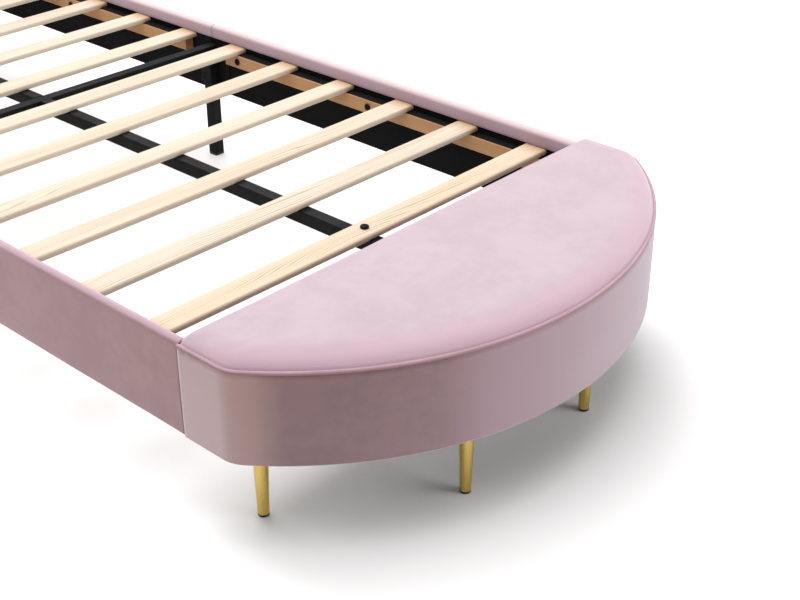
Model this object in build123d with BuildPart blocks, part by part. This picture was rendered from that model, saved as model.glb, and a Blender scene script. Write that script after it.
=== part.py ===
"""Single bed with padded side rails, a slatted base and a half-round bench at its foot. Millimetres."""

import os
from math import cos, radians, sin, sqrt

from build123d import *

os.makedirs("parts", exist_ok=True)

# Mattress, and the room left round it
mattress_width = 900
mattress_length = 2000
mattress_side_gap = 10
mattress_end_gap = 20

# Heights
floor_gap = 151
rail_height = 156.5
recess_depth = 30.5

# Side rails: a board in a padded velvet sleeve, lined with black cloth
rail_board_thickness = 12
rail_pad = 3
rail_roll = 5
rail_roll_gap = 0.5
rail_top_pad = 4
rail_top_radius = 7
rail_underturn = 1.5
lining_thickness = 0.8
rail_seam_gap = 0.6

# Slats and the cleats that carry them
slat_count = 12
slat_width = 50
slat_thickness = 12
slat_end_inset = 99.85
slat_edge_radius = 4
slat_end_gap = 0.7
slat_corner_radius = 3
cleat_thickness = 22
cleat_height = 29
cleat_edge_radius = 1.5
cleat_bench_gap = 45
cleat_gap_foot = 63
cleat_gap_head = 75
tape_thickness = 1

# Black steel under the slats
tube_size = 25
tube_wall = 1.5
tube_corner_radius = 2.5
slat_clearance = 0.4
crossbar_offset = 1.5
saddle_thickness = 2
saddle_reach = 30
leg_plate_thickness = 3
glide_height = 6
glide_plug = 14
glide_clearance = 0.2
hanger_thickness = 2
hanger_depth = 34
hanger_cheek = 20
hanger_plate_width = 70
hanger_plate_drop = 12
hanger_bolt_pitch = 54
tube_end_gap = 0.4

# Steel plates that join the rails, and angle brackets at the corners
plate_thickness = 3
joint_plate_length = 100
joint_plate_height = 92
joint_plate_bottom_gap = 9
joint_bolt_pitch_y = 76
joint_bolt_pitch_z = 66
bracket_leg = 40
bracket_height = 56
bracket_lift = 20
bracket_bolt_pitch = 30
bracket_bolt_inset = 26

# Black dome-head bolts
bolt_radius = 3
bolt_clearance = 0.2
bolt_head_radius = 7
bolt_head_height = 3.6
bolt_head_edge_radius = 2.8
bolt_wood_grip = 8
bolt_end_gap = 1
cleat_bolt_inset = 40
cleat_bolt_end_inset_foot = 72
cleat_bolt_end_inset_head = 60
cleat_bolt_count = 3

# Half-round bench
bench_depth = 353
bench_overhang = 2.5
bench_side_length = 103.3
corner_radius = 82
band_thickness = 4
bench_board_thickness = 12
bench_base_thickness = 15
bench_front_thickness = 9
bench_back_thickness = 15
bench_base_lift = 1.5
bench_cloth = 1
bench_pad_height = 40
welt_drop = 5.9
welt_radius = 2.6
pad_clearance = 0.3
crown_ring_count = 6
crown_height = 9.5
crown_reach = 110
crown_back_share = 0.25
post_size = 40
post_wall_gap = 10
post_turn = 28
dust_cloth = 0.8

# Gold-coloured metal legs
leg_top_radius = 13
leg_foot_radius = 8.9
leg_wall = 1.6
leg_boss_height = 12
leg_cap_height = 4
leg_cap_plug = 10
leg_side_inset = 81.5
leg_back_inset = 71
leg_front_x_share = 0.317
leg_front_inset = 96
mount_plate_size = 60
mount_plate_thickness = 2.5
mount_corner_radius = 4
stud_radius = 4

# Headboard, as a plain companion to the bench
headboard_height = 996
headboard_board_thickness = 18
headboard_lift = 12
headboard_hem = 3
apron_thickness = 4
headboard_pad_lift = 32.5
headboard_pad_edge = 2.5
headboard_crown_height = 30
headboard_crown_reach = 130
headboard_cloth = 1
glide_width = 40
glide_inset = 40

cut_overrun = 5

# Places that follow from the sizes above
inner_half_width = mattress_width / 2 + mattress_side_gap
inner_length = mattress_length + 2 * mattress_end_gap
rail_board_inner = inner_half_width + rail_roll
rail_board_outer = rail_board_inner + rail_board_thickness
bed_half_width = rail_board_outer + rail_pad
lining_inner = rail_board_inner - lining_thickness
cleat_inner = lining_inner - cleat_thickness
plate_inner = lining_inner - plate_thickness

headboard_thickness = apron_thickness + headboard_board_thickness + headboard_cloth
bed_length = bench_depth + inner_length + headboard_thickness
bench_back_y = bench_depth - bed_length / 2
headboard_y = bench_back_y + inner_length
seam_y = (bench_back_y + headboard_y) / 2

rail_top_z = floor_gap + rail_height
slat_top_z = rail_top_z - recess_depth
slat_seat_z = slat_top_z - slat_thickness
cleat_top_z = slat_seat_z - tape_thickness
cleat_bottom_z = cleat_top_z - cleat_height
tube_top_z = slat_seat_z - slat_clearance
tube_bottom_z = tube_top_z - tube_size
crossbar_y = seam_y - crossbar_offset

bench_half_width = bed_half_width + bench_overhang
arc_rise = bench_depth - bench_side_length
arc_radius = (bench_half_width**2 + arc_rise**2) / (2 * arc_rise)
bench_base_z = floor_gap + bench_base_lift
bench_pad_z = rail_top_z - bench_pad_height
bench_top_board_z = bench_pad_z - bench_board_thickness
bench_frame_z = bench_base_z + bench_base_thickness
welt_z = rail_top_z - welt_drop

headboard_body_z = headboard_height - headboard_lift

SIDES = {"left": -1, "right": 1}
ENDS = {"bench": (bench_back_y, 1), "headboard": (headboard_y, -1)}


def keep(builder, node):
    """Label a finished piece and write it under its node's name."""
    builder.part.label = node
    export_step(builder.part, f"parts/{node}.step")


def span_plane(y):
    """Upright plane across the bed at y; extrude by a negative amount to go towards the head."""
    return Plane.XZ.offset(-y)


def half_round(half_width, height, inset, base_inset=0.0):
    """Straight base and sides under a shallow arc, drawn inside the outer outline by the insets."""
    half = half_width - inset
    radius = arc_radius - inset
    centre = height - arc_radius
    shoulder = centre + sqrt(radius**2 - half**2)
    with BuildSketch(mode=Mode.PRIVATE) as outline:
        with BuildLine():
            Polyline((half, shoulder), (half, base_inset), (-half, base_inset), (-half, shoulder))
            ThreePointArc((-half, shoulder), (0, centre + radius), (half, shoulder))
        make_face()
        corners = outline.vertices().group_by(Axis.Y)[-1]
        fillet(corners, radius=max(corner_radius - inset, corner_radius / 2))
    return outline.sketch


def bench_plane(z):
    """Level plane at z whose +y runs from the bench's straight back towards the foot."""
    return Plane(origin=(0, bench_back_y, z), x_dir=(-1, 0, 0), z_dir=(0, 0, 1))


def bench_outline(inset, back_inset=0.0):
    return half_round(bench_half_width, bench_depth, inset, back_inset)


def crown_rings(height, reach):
    """Rise and inset of each ring of a padded crown, from its edge in to its flat middle."""
    turns = [radians(90 * ring / (crown_ring_count - 1)) for ring in range(crown_ring_count)]
    return [(height * sin(turn), reach * (1 - cos(turn))) for turn in turns]


def headboard_plane(y):
    """Upright plane at y, standing on the headboard board's lower edge, facing the foot."""
    return Plane(origin=(0, y, headboard_lift), x_dir=(1, 0, 0), z_dir=(0, -1, 0))


def headboard_outline(inset, base_inset=0.0):
    return half_round(bed_half_width, headboard_body_z, inset, base_inset)


def seat(x, y, z, out):
    """Plane under a bolt head, with its z axis pointing out of the head."""
    across = (0, 0, 1) if out[2] == 0 else (1, 0, 0)
    return Plane(origin=(x, y, z), x_dir=across, z_dir=out)


def drill(seats, shank):
    """Clearance holes for bolts in the piece being built."""
    with Locations(*[Location(place) for place in seats]):
        Hole(bolt_radius + bolt_clearance, depth=shank + bolt_end_gap)


def square_tube(length):
    """Hollow square tube along +z from the active location, with rounded outer corners."""
    with BuildPart(mode=Mode.PRIVATE) as tube:
        with BuildSketch():
            RectangleRounded(tube_size, tube_size, tube_corner_radius)
            inner = tube_size - 2 * tube_wall
            RectangleRounded(inner, inner, tube_corner_radius - tube_wall, mode=Mode.SUBTRACT)
        extrude(amount=length)
    return tube.part


def dome_bolt(shank):
    """Bolt hanging down from the origin plane, its domed head above."""
    with BuildPart(mode=Mode.PRIVATE) as bolt:
        Cylinder(bolt_head_radius, bolt_head_height, align=(Align.CENTER, Align.CENTER, Align.MIN))
        fillet(bolt.edges().group_by(Axis.Z)[-1], radius=bolt_head_edge_radius)
        Cylinder(bolt_radius, shank, align=(Align.CENTER, Align.CENTER, Align.MAX))
    return bolt.part


# Rail halves: the ends of each rail, cleat and row of cleat bolts along the bed
sections = {
    "foot": {
        "rail": (bench_back_y, seam_y - rail_seam_gap / 2),
        "cleat": (bench_back_y + cleat_bench_gap, seam_y - cleat_gap_foot),
        "bolt_insets": (cleat_bolt_end_inset_foot, cleat_bolt_inset),
    },
    "head": {
        "rail": (seam_y + rail_seam_gap / 2, headboard_y),
        "cleat": (seam_y + cleat_gap_head, headboard_y - cleat_bench_gap),
        "bolt_insets": (cleat_bolt_inset, cleat_bolt_end_inset_head),
    },
}

# Bolt seats
cleat_bolt_z = cleat_bottom_z + cleat_height / 2
cleat_bolt_length = cleat_thickness + lining_thickness + bolt_wood_grip
rail_bolt_length = plate_thickness + lining_thickness + bolt_wood_grip
end_bolt_length = plate_thickness + apron_thickness + bolt_wood_grip
slat_bolt_length = slat_thickness + tube_wall + bolt_wood_grip
bracket_bottom_z = floor_gap + bracket_lift
bracket_middle_z = bracket_bottom_z + bracket_height / 2
joint_plate_bottom_z = floor_gap + joint_plate_bottom_gap
joint_plate_middle_z = joint_plate_bottom_z + joint_plate_height / 2
crossbar_half_length = plate_inner
support_leg_x = crossbar_half_length - tube_size / 2

cleat_seats = {}
rail_seats = {}
for side, sign in SIDES.items():
    for section, ends in sections.items():
        first_bolt_y = ends["cleat"][0] + ends["bolt_insets"][0]
        last_bolt_y = ends["cleat"][1] - ends["bolt_insets"][1]
        bolt_pitch = (last_bolt_y - first_bolt_y) / (cleat_bolt_count - 1)
        cleat_seats[side, section] = [
            seat(sign * cleat_inner, first_bolt_y + step * bolt_pitch, cleat_bolt_z, (-sign, 0, 0))
            for step in range(cleat_bolt_count)
        ]
        corner_y = bench_back_y + bracket_bolt_inset
        toward_seam = -1
        if section == "head":
            corner_y = headboard_y - bracket_bolt_inset
            toward_seam = 1
        rail_seats[side, section] = [
            seat(sign * plate_inner, corner_y, bracket_middle_z + half * bracket_bolt_pitch / 2, (-sign, 0, 0))
            for half in (-1, 1)
        ]
        rail_seats[side, section] += [
            seat(
                sign * plate_inner,
                seam_y + toward_seam * joint_bolt_pitch_y / 2,
                joint_plate_middle_z + half * joint_bolt_pitch_z / 2,
                (-sign, 0, 0),
            )
            for half in (-1, 1)
        ]

end_seats = {}
for end, (end_y, out) in ENDS.items():
    end_seats[end] = [
        seat(
            sign * (lining_inner - bracket_bolt_inset),
            end_y + out * plate_thickness,
            bracket_middle_z + half * bracket_bolt_pitch / 2,
            (0, out, 0),
        )
        for sign in SIDES.values()
        for half in (-1, 1)
    ]
    end_seats[end] += [
        seat(
            sign * hanger_bolt_pitch / 2,
            end_y + out * hanger_thickness,
            tube_bottom_z + tube_size / 2,
            (0, out, 0),
        )
        for sign in SIDES.values()
    ]

slat_pitch = (inner_length - 2 * slat_end_inset) / (slat_count - 1)
slat_places = [bench_back_y + slat_end_inset + index * slat_pitch for index in range(slat_count)]
slat_bolt_seats = [seat(0, slat_places[0], slat_top_z, (0, 0, 1))]

# Side rails
for side, sign in SIDES.items():
    for section, ends in sections.items():
        rail_start, rail_end = ends["rail"]
        rail_length = rail_end - rail_start
        board_bottom = floor_gap + rail_underturn
        board_top = rail_top_z - rail_top_pad

        with BuildPart() as rail_board:
            with BuildSketch(span_plane(rail_start)):
                with Locations((sign * (rail_board_inner + rail_board_thickness / 2), (board_bottom + board_top) / 2)):
                    Rectangle(rail_board_thickness, board_top - board_bottom)
            extrude(amount=-rail_length)
            drill(cleat_seats[side, section], cleat_bolt_length)
            drill(rail_seats[side, section], rail_bolt_length)
        keep(rail_board, f"rail_board_{side}_{section}")

        roll_bottom = slat_top_z + rail_roll_gap
        with BuildPart() as rail_cover:
            with BuildSketch(span_plane(rail_start)) as sleeve:
                with BuildLine():
                    Polyline(
                        (sign * bed_half_width, floor_gap),
                        (sign * bed_half_width, rail_top_z),
                        (sign * inner_half_width, rail_top_z),
                        (sign * inner_half_width, roll_bottom),
                        (sign * rail_board_inner, roll_bottom),
                        (sign * rail_board_inner, board_top),
                        (sign * rail_board_outer, board_top),
                        (sign * rail_board_outer, board_bottom),
                        (sign * rail_board_inner, board_bottom),
                        (sign * rail_board_inner, floor_gap),
                        close=True,
                    )
                make_face()
                fillet(sleeve.vertices().group_by(Axis.Y)[-1], radius=rail_top_radius)
            extrude(amount=-rail_length)
        keep(rail_cover, f"rail_cover_{side}_{section}")

        with BuildPart() as rail_lining:
            with BuildSketch(span_plane(rail_start)):
                with Locations((sign * (rail_board_inner - lining_thickness / 2), (board_bottom + roll_bottom) / 2)):
                    Rectangle(lining_thickness, roll_bottom - board_bottom)
            extrude(amount=-rail_length)
            drill(cleat_seats[side, section], cleat_bolt_length)
            drill(rail_seats[side, section], rail_bolt_length)
        keep(rail_lining, f"rail_lining_{side}_{section}")

        cleat_start, cleat_end = ends["cleat"]
        with BuildPart() as cleat:
            with BuildSketch(span_plane(cleat_start)) as cleat_end_grain:
                with Locations((sign * (cleat_inner + cleat_thickness / 2), cleat_bottom_z + cleat_height / 2)):
                    Rectangle(cleat_thickness, cleat_height)
                inner_edge = cleat_end_grain.vertices().sort_by(Axis.X)
                inner_edge = inner_edge[:2] if sign > 0 else inner_edge[-2:]
                fillet(inner_edge, radius=cleat_edge_radius)
            extrude(amount=-(cleat_end - cleat_start))
            drill(cleat_seats[side, section], cleat_bolt_length)
        keep(cleat, f"cleat_{side}_{section}")

with BuildPart() as slat_tapes:
    for sign in SIDES.values():
        for ends in sections.values():
            tape_start, tape_end = ends["cleat"]
            with BuildSketch(Plane.XY.offset(cleat_top_z)):
                with Locations((sign * (cleat_inner + cleat_thickness / 2), (tape_start + tape_end) / 2)):
                    Rectangle(cleat_thickness - 2 * cleat_edge_radius, tape_end - tape_start)
            extrude(amount=tape_thickness)
keep(slat_tapes, "slat_tapes")

# Slats
slat_half_length = lining_inner - slat_end_gap
for index, slat_y in enumerate(slat_places):
    with BuildPart() as slat:
        with BuildSketch(Plane.XY.offset(slat_seat_z)):
            with Locations((0, slat_y)):
                RectangleRounded(2 * slat_half_length, slat_width, slat_corner_radius)
        extrude(amount=slat_thickness)
        long_edges = slat.edges().filter_by(Axis.X)
        fillet(long_edges, radius=slat_edge_radius)
        if index == 0:
            drill(slat_bolt_seats, slat_bolt_length)
    keep(slat, f"slat_{index + 1:02d}")

# Square steel tube along the middle, in two lengths
middle_tubes = {
    "foot": (bench_back_y + hanger_thickness + tube_end_gap, crossbar_y - tube_size / 2 - tube_end_gap),
    "head": (crossbar_y + tube_size / 2 + tube_end_gap, headboard_y - hanger_thickness - tube_end_gap),
}
tube_middle_z = tube_bottom_z + tube_size / 2
for section, (tube_start, tube_end) in middle_tubes.items():
    with BuildPart() as middle_tube:
        with Locations(Plane(origin=(0, tube_start, tube_middle_z), x_dir=(1, 0, 0), z_dir=(0, 1, 0))):
            add(square_tube(tube_end - tube_start))
        if section == "foot":
            drill(slat_bolt_seats, slat_bolt_length)
    keep(middle_tube, f"middle_tube_{section}")

with BuildPart() as crossbar:
    with Locations(Plane(origin=(-crossbar_half_length, crossbar_y, tube_middle_z), x_dir=(0, 1, 0), z_dir=(1, 0, 0))):
        add(square_tube(2 * crossbar_half_length))
    with BuildSketch(Plane.XY.offset(tube_bottom_z)):
        with Locations((0, crossbar_y)):
            Rectangle(tube_size, tube_size + 2 * saddle_reach)
    extrude(amount=-saddle_thickness)
keep(crossbar, "crossbar")

support_leg_top = tube_bottom_z - leg_plate_thickness
for side, sign in SIDES.items():
    with BuildPart() as support_leg:
        with Locations((sign * support_leg_x, crossbar_y, glide_height)):
            add(square_tube(support_leg_top - glide_height))
        with BuildSketch(Plane.XY.offset(support_leg_top)):
            with Locations((sign * support_leg_x, crossbar_y)):
                RectangleRounded(tube_size, tube_size, tube_corner_radius)
        extrude(amount=leg_plate_thickness)
    keep(support_leg, f"support_leg_{side}")

# Floor glides: plugs in the support legs and blocks under the headboard
plug_size = tube_size - 2 * tube_wall - 2 * glide_clearance
headboard_board_y = headboard_y + apron_thickness + headboard_board_thickness / 2
with BuildPart() as floor_glides:
    for sign in SIDES.values():
        with BuildSketch():
            with Locations((sign * support_leg_x, crossbar_y)):
                RectangleRounded(tube_size, tube_size, tube_corner_radius)
        extrude(amount=glide_height)
        with BuildSketch(Plane.XY.offset(glide_height)):
            with Locations((sign * support_leg_x, crossbar_y)):
                RectangleRounded(plug_size, plug_size, tube_corner_radius - tube_wall)
        extrude(amount=glide_plug)
        with BuildSketch():
            with Locations((sign * (bed_half_width - glide_inset), headboard_board_y)):
                RectangleRounded(glide_width, headboard_board_thickness, tube_corner_radius)
        extrude(amount=headboard_lift)
keep(floor_glides, "floor_glides")

# U-shaped hangers for the ends of the middle tube
cheek_half = tube_size / 2 + glide_clearance + hanger_thickness
with BuildPart() as tube_hangers:
    for end_y, out in ENDS.values():
        with BuildSketch(span_plane(end_y)):
            with BuildLine():
                Polyline(
                    (-hanger_plate_width / 2, tube_bottom_z - hanger_plate_drop),
                    (hanger_plate_width / 2, tube_bottom_z - hanger_plate_drop),
                    (hanger_plate_width / 2, tube_top_z),
                    (-hanger_plate_width / 2, tube_top_z),
                    close=True,
                )
            make_face()
        extrude(amount=-out * hanger_thickness)
        with BuildSketch(span_plane(end_y + out * hanger_thickness)):
            with BuildLine():
                Polyline(
                    (-cheek_half, tube_bottom_z - hanger_thickness),
                    (cheek_half, tube_bottom_z - hanger_thickness),
                    (cheek_half, tube_bottom_z + hanger_cheek),
                    (cheek_half - hanger_thickness, tube_bottom_z + hanger_cheek),
                    (cheek_half - hanger_thickness, tube_bottom_z),
                    (hanger_thickness - cheek_half, tube_bottom_z),
                    (hanger_thickness - cheek_half, tube_bottom_z + hanger_cheek),
                    (-cheek_half, tube_bottom_z + hanger_cheek),
                    close=True,
                )
            make_face()
        extrude(amount=-out * (hanger_depth - hanger_thickness))
    for seats in end_seats.values():
        drill(seats, end_bolt_length)
keep(tube_hangers, "tube_hangers")

# Plates across the rail seams
with BuildPart() as joint_plates:
    for side, sign in SIDES.items():
        with BuildSketch(Plane.YZ.offset(sign * plate_inner)):
            with Locations((seam_y, joint_plate_middle_z)):
                RectangleRounded(joint_plate_length, joint_plate_height, bolt_radius)
        extrude(amount=sign * plate_thickness)
        for section in sections:
            drill(rail_seats[side, section], rail_bolt_length)
keep(joint_plates, "joint_plates")

# Angle brackets where the rails meet the bench and the headboard
with BuildPart() as corner_brackets:
    for sign in SIDES.values():
        for end_y, out in ENDS.values():
            with BuildSketch(Plane.XY.offset(bracket_bottom_z)):
                with BuildLine():
                    Polyline(
                        (sign * lining_inner, end_y),
                        (sign * (lining_inner - bracket_leg), end_y),
                        (sign * (lining_inner - bracket_leg), end_y + out * plate_thickness),
                        (sign * plate_inner, end_y + out * plate_thickness),
                        (sign * plate_inner, end_y + out * bracket_leg),
                        (sign * lining_inner, end_y + out * bracket_leg),
                        close=True,
                    )
                make_face()
            extrude(amount=bracket_height)
    for seats in rail_seats.values():
        drill(seats, rail_bolt_length)
    for seats in end_seats.values():
        drill(seats, end_bolt_length)
keep(corner_brackets, "corner_brackets")

# Bolts
with BuildPart() as dome_bolts:
    for seats in cleat_seats.values():
        with Locations(*[Location(place) for place in seats]):
            add(dome_bolt(cleat_bolt_length))
    with Locations(*[Location(place) for place in slat_bolt_seats]):
        add(dome_bolt(slat_bolt_length))
keep(dome_bolts, "dome_bolts")

with BuildPart() as frame_bolts:
    for seats in rail_seats.values():
        with Locations(*[Location(place) for place in seats]):
            add(dome_bolt(rail_bolt_length))
    for seats in end_seats.values():
        with Locations(*[Location(place) for place in seats]):
            add(dome_bolt(end_bolt_length))
keep(frame_bolts, "frame_bolts")

# Bench carcass
leg_back_x = bench_half_width - leg_side_inset
leg_front_x = bench_half_width * leg_front_x_share
leg_back_y = bench_back_y - leg_back_inset
leg_front_y = bench_back_y - bench_depth + leg_front_inset
leg_places = {
    "left_back": (-leg_back_x, leg_back_y),
    "left_front": (-leg_front_x, leg_front_y),
    "right_front": (leg_front_x, leg_front_y),
    "right_back": (leg_back_x, leg_back_y),
}
stud_hole_radius = stud_radius + bolt_clearance

with BuildPart() as bench_base_board:
    with BuildSketch(bench_plane(bench_base_z)):
        add(bench_outline(band_thickness, bench_cloth))
    extrude(amount=bench_base_thickness)
keep(bench_base_board, "bench_base_board")

with BuildPart() as bench_top_board:
    with BuildSketch(bench_plane(bench_top_board_z)):
        add(bench_outline(band_thickness, bench_cloth))
    extrude(amount=bench_board_thickness)
keep(bench_top_board, "bench_top_board")

wall_height = bench_top_board_z - bench_frame_z
front_inner = band_thickness + bench_front_thickness
with BuildPart() as bench_front_board:
    with BuildSketch(bench_plane(bench_frame_z)):
        add(bench_outline(band_thickness, bench_cloth))
        add(bench_outline(front_inner, -cut_overrun), mode=Mode.SUBTRACT)
    extrude(amount=wall_height)
keep(bench_front_board, "bench_front_board")

with BuildPart() as bench_back_board:
    with BuildSketch(Plane.XY.offset(bench_frame_z)):
        with Locations((0, bench_back_y - bench_cloth - bench_back_thickness / 2)):
            Rectangle(2 * (bench_half_width - front_inner), bench_back_thickness)
    extrude(amount=wall_height)
    drill(end_seats["bench"], end_bolt_length)
keep(bench_back_board, "bench_back_board")

post_reach = arc_radius - front_inner - post_wall_gap - post_size / 2
arc_centre_y = bench_back_y - bench_depth + arc_radius
post_corner_x = bench_half_width - front_inner - post_wall_gap - post_size / 2
post_corner_y = bench_back_y - bench_cloth - bench_back_thickness - post_wall_gap - post_size / 2
post_places = [(sign * post_corner_x, post_corner_y) for sign in SIDES.values()]
post_places += [
    (post_reach * sin(radians(turn)), arc_centre_y - post_reach * cos(radians(turn)))
    for turn in (-post_turn, 0, post_turn)
]
with BuildPart() as bench_posts:
    with BuildSketch(Plane.XY.offset(bench_frame_z)):
        with Locations(*post_places):
            Rectangle(post_size, post_size)
    extrude(amount=wall_height)
keep(bench_posts, "bench_posts")

with BuildPart() as bench_dust_cover:
    with BuildSketch(bench_plane(bench_base_z - dust_cloth)):
        add(bench_outline(band_thickness, bench_cloth))
    extrude(amount=dust_cloth)
keep(bench_dust_cover, "bench_dust_cover")

with BuildPart() as bench_back_cloth:
    with BuildSketch(Plane.XY.offset(bench_base_z)):
        with Locations((0, bench_back_y - bench_cloth / 2)):
            Rectangle(2 * (bench_half_width - band_thickness), bench_cloth)
    extrude(amount=bench_pad_z - bench_base_z)
    drill(end_seats["bench"], end_bolt_length)
keep(bench_back_cloth, "bench_back_cloth")

# Velvet band round the bench, the piping on its top edge and the crowned pad inside
band_top_z = welt_z - welt_radius
with BuildPart() as bench_side_band:
    with BuildSketch(bench_plane(floor_gap)):
        add(bench_outline(0))
        add(bench_outline(band_thickness, -cut_overrun), mode=Mode.SUBTRACT)
    extrude(amount=band_top_z - floor_gap)
keep(bench_side_band, "bench_side_band")

welt_outline = bench_plane(welt_z) * bench_outline(welt_radius)
welt_path = Wire(welt_outline.edges().sort_by(Axis.Y)[:-1])
with BuildPart() as bench_piping:
    with BuildSketch(Plane(origin=welt_path @ 0, z_dir=welt_path % 0)):
        Circle(welt_radius)
    sweep(path=welt_path)
keep(bench_piping, "bench_piping")

pad_inset = 2 * welt_radius + pad_clearance
pad_shoulder_z = rail_top_z - welt_radius / 2
with BuildPart() as bench_pad:
    with BuildSketch(bench_plane(bench_pad_z)):
        add(bench_outline(pad_inset))
    extrude(amount=pad_shoulder_z - bench_pad_z)
    for rise, inset in crown_rings(crown_height, crown_reach):
        with BuildSketch(bench_plane(pad_shoulder_z + rise)):
            add(bench_outline(pad_inset + inset, inset * crown_back_share))
    loft(ruled=True)
keep(bench_pad, "bench_pad")

# Bench legs, and the plates whose studs screw into them
plate_bottom_z = bench_base_z - dust_cloth - mount_plate_thickness
with BuildPart() as leg_plates:
    with BuildSketch(Plane.XY.offset(plate_bottom_z)):
        with Locations(*leg_places.values()):
            RectangleRounded(mount_plate_size, mount_plate_size, mount_corner_radius)
    extrude(amount=mount_plate_thickness)
    with BuildSketch(Plane.XY.offset(plate_bottom_z)):
        with Locations(*leg_places.values()):
            Circle(stud_radius)
    extrude(amount=-leg_boss_height)
keep(leg_plates, "leg_plates")

leg_taper = (leg_top_radius - leg_foot_radius) / (plate_bottom_z - leg_cap_height)
boss_z = plate_bottom_z - leg_boss_height
boss_radius = leg_foot_radius + leg_taper * (boss_z - leg_cap_height) - leg_wall
for name, (leg_x, leg_y) in leg_places.items():
    with BuildPart() as bench_leg:
        with BuildSketch(Plane(origin=(leg_x, leg_y, 0), x_dir=(1, 0, 0), z_dir=(0, -1, 0))):
            with BuildLine():
                Polyline(
                    (stud_hole_radius, plate_bottom_z),
                    (leg_top_radius, plate_bottom_z),
                    (leg_foot_radius, leg_cap_height),
                    (leg_foot_radius - leg_wall, leg_cap_height),
                    (boss_radius, boss_z),
                    (stud_hole_radius, boss_z),
                    close=True,
                )
            make_face()
        revolve(axis=Axis((leg_x, leg_y, 0), (0, 0, 1)))
    keep(bench_leg, f"bench_leg_{name}")

cap_plug_radius = leg_foot_radius - leg_wall - glide_clearance
with BuildPart() as leg_caps:
    with BuildSketch():
        with Locations(*leg_places.values()):
            Circle(leg_foot_radius)
    extrude(amount=leg_cap_height)
    fillet(leg_caps.edges().group_by(Axis.Z)[0], radius=leg_wall)
    with BuildSketch(Plane.XY.offset(leg_cap_height)):
        with Locations(*leg_places.values()):
            Circle(cap_plug_radius)
    extrude(amount=leg_cap_plug)
keep(leg_caps, "leg_caps")

# Headboard
board_face_y = headboard_y + apron_thickness
board_back_y = board_face_y + headboard_board_thickness
with BuildPart() as headboard_board:
    with BuildSketch(headboard_plane(board_face_y)):
        add(headboard_outline(band_thickness))
    extrude(amount=-headboard_board_thickness)
    drill(end_seats["headboard"], end_bolt_length)
keep(headboard_board, "headboard_board")

apron_top = rail_top_z + headboard_pad_lift - headboard_lift
with BuildPart() as headboard_cover:
    with BuildSketch(headboard_plane(board_face_y)):
        add(headboard_outline(0, headboard_hem))
        add(headboard_outline(band_thickness, -cut_overrun), mode=Mode.SUBTRACT)
    extrude(amount=-headboard_board_thickness)
    with BuildSketch(headboard_plane(headboard_y)):
        with Locations((0, headboard_hem)):
            Rectangle(2 * bed_half_width, apron_top - headboard_hem, align=(Align.CENTER, Align.MIN))
    extrude(amount=-apron_thickness)
    drill(end_seats["headboard"], end_bolt_length)
keep(headboard_cover, "headboard_cover")

with BuildPart() as headboard_pad:
    for rise, inset in crown_rings(headboard_crown_height, headboard_crown_reach):
        with BuildSketch(headboard_plane(board_face_y - rise)):
            add(headboard_outline(headboard_pad_edge + inset, apron_top + inset))
    loft(ruled=True)
keep(headboard_pad, "headboard_pad")

with BuildPart() as headboard_back_cloth:
    with BuildSketch(headboard_plane(board_back_y)):
        add(headboard_outline(0, headboard_hem))
    extrude(amount=-headboard_cloth)
keep(headboard_back_cloth, "headboard_back_cloth")
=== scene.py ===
"""Finish of a single bed with a half-round foot bench: velvet, pine slats, black steel and gold legs."""

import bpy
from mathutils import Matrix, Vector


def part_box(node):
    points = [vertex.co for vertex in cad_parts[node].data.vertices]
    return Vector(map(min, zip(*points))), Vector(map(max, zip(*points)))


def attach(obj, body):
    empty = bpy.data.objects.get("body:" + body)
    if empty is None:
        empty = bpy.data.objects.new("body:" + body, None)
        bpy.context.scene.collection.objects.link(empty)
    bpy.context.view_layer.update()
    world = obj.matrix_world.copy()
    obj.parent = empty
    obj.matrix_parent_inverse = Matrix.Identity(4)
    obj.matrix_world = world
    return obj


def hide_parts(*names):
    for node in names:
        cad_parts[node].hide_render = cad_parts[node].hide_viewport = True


bl_info = {
    "name": "Slatted Bed with a Half-Round Bench",
    "version": (1, 0, 0),
    "blender": (4, 5, 0),
    "location": "View3D > Sidebar > Bed",
    "description": "Upholstery, woodwork, fittings and studio for the packed bed frame",
    "category": "Object",
}

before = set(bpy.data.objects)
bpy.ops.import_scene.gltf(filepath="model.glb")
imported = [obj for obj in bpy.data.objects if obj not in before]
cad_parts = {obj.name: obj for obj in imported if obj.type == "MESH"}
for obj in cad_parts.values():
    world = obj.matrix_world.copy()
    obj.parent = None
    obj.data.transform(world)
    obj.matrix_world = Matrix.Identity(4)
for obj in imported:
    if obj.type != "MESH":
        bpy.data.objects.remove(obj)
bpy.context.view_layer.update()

from math import atan2, ceil, cos, pi, radians, sin, sqrt

import bmesh
import bpy
import numpy as np
from bpy.props import FloatProperty, FloatVectorProperty, IntProperty, PointerProperty
from mathutils import Matrix, Vector, noise

# Upholstery: point spacings, row counts, shares and sizes in metres
PAD_STEP = 0.0075
PAD_WALL_ROWS = 4
PAD_ROLL_ROWS = 24
PAD_FACE_ROWS = 14
PAD_MIDDLE_SHARE = 0.62
SEAM_SHARE = 1.4
PLAN_SMOOTHING = 0.009
PIPING_DROP = 0.0006
PIPING_START = 0.0016
PIPING_PROUD = 0.0004
PAD_LEVEL = 0.001
BENCH_FULLNESS = 2.4
BENCH_BACK_SHARE = 0.36
HEAD_FULLNESS = 2.6
BAND_STEP = 0.004
BAND_DEPTH = 0.004
BAND_TUCK = 0.0008
BAND_HEM = 0.001
BENCH_END_RADIUS = 0.0026
HEAD_END_RADIUS = 0.003
HEAD_BAND_STEP = 0.005
APRON_RADIUS = 0.002
LIFT_START = -0.30
LIFT_RUN = 0.65
SLEEVE_DEPTH = 0.005
SLEEVE_PAD = 0.003

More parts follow.
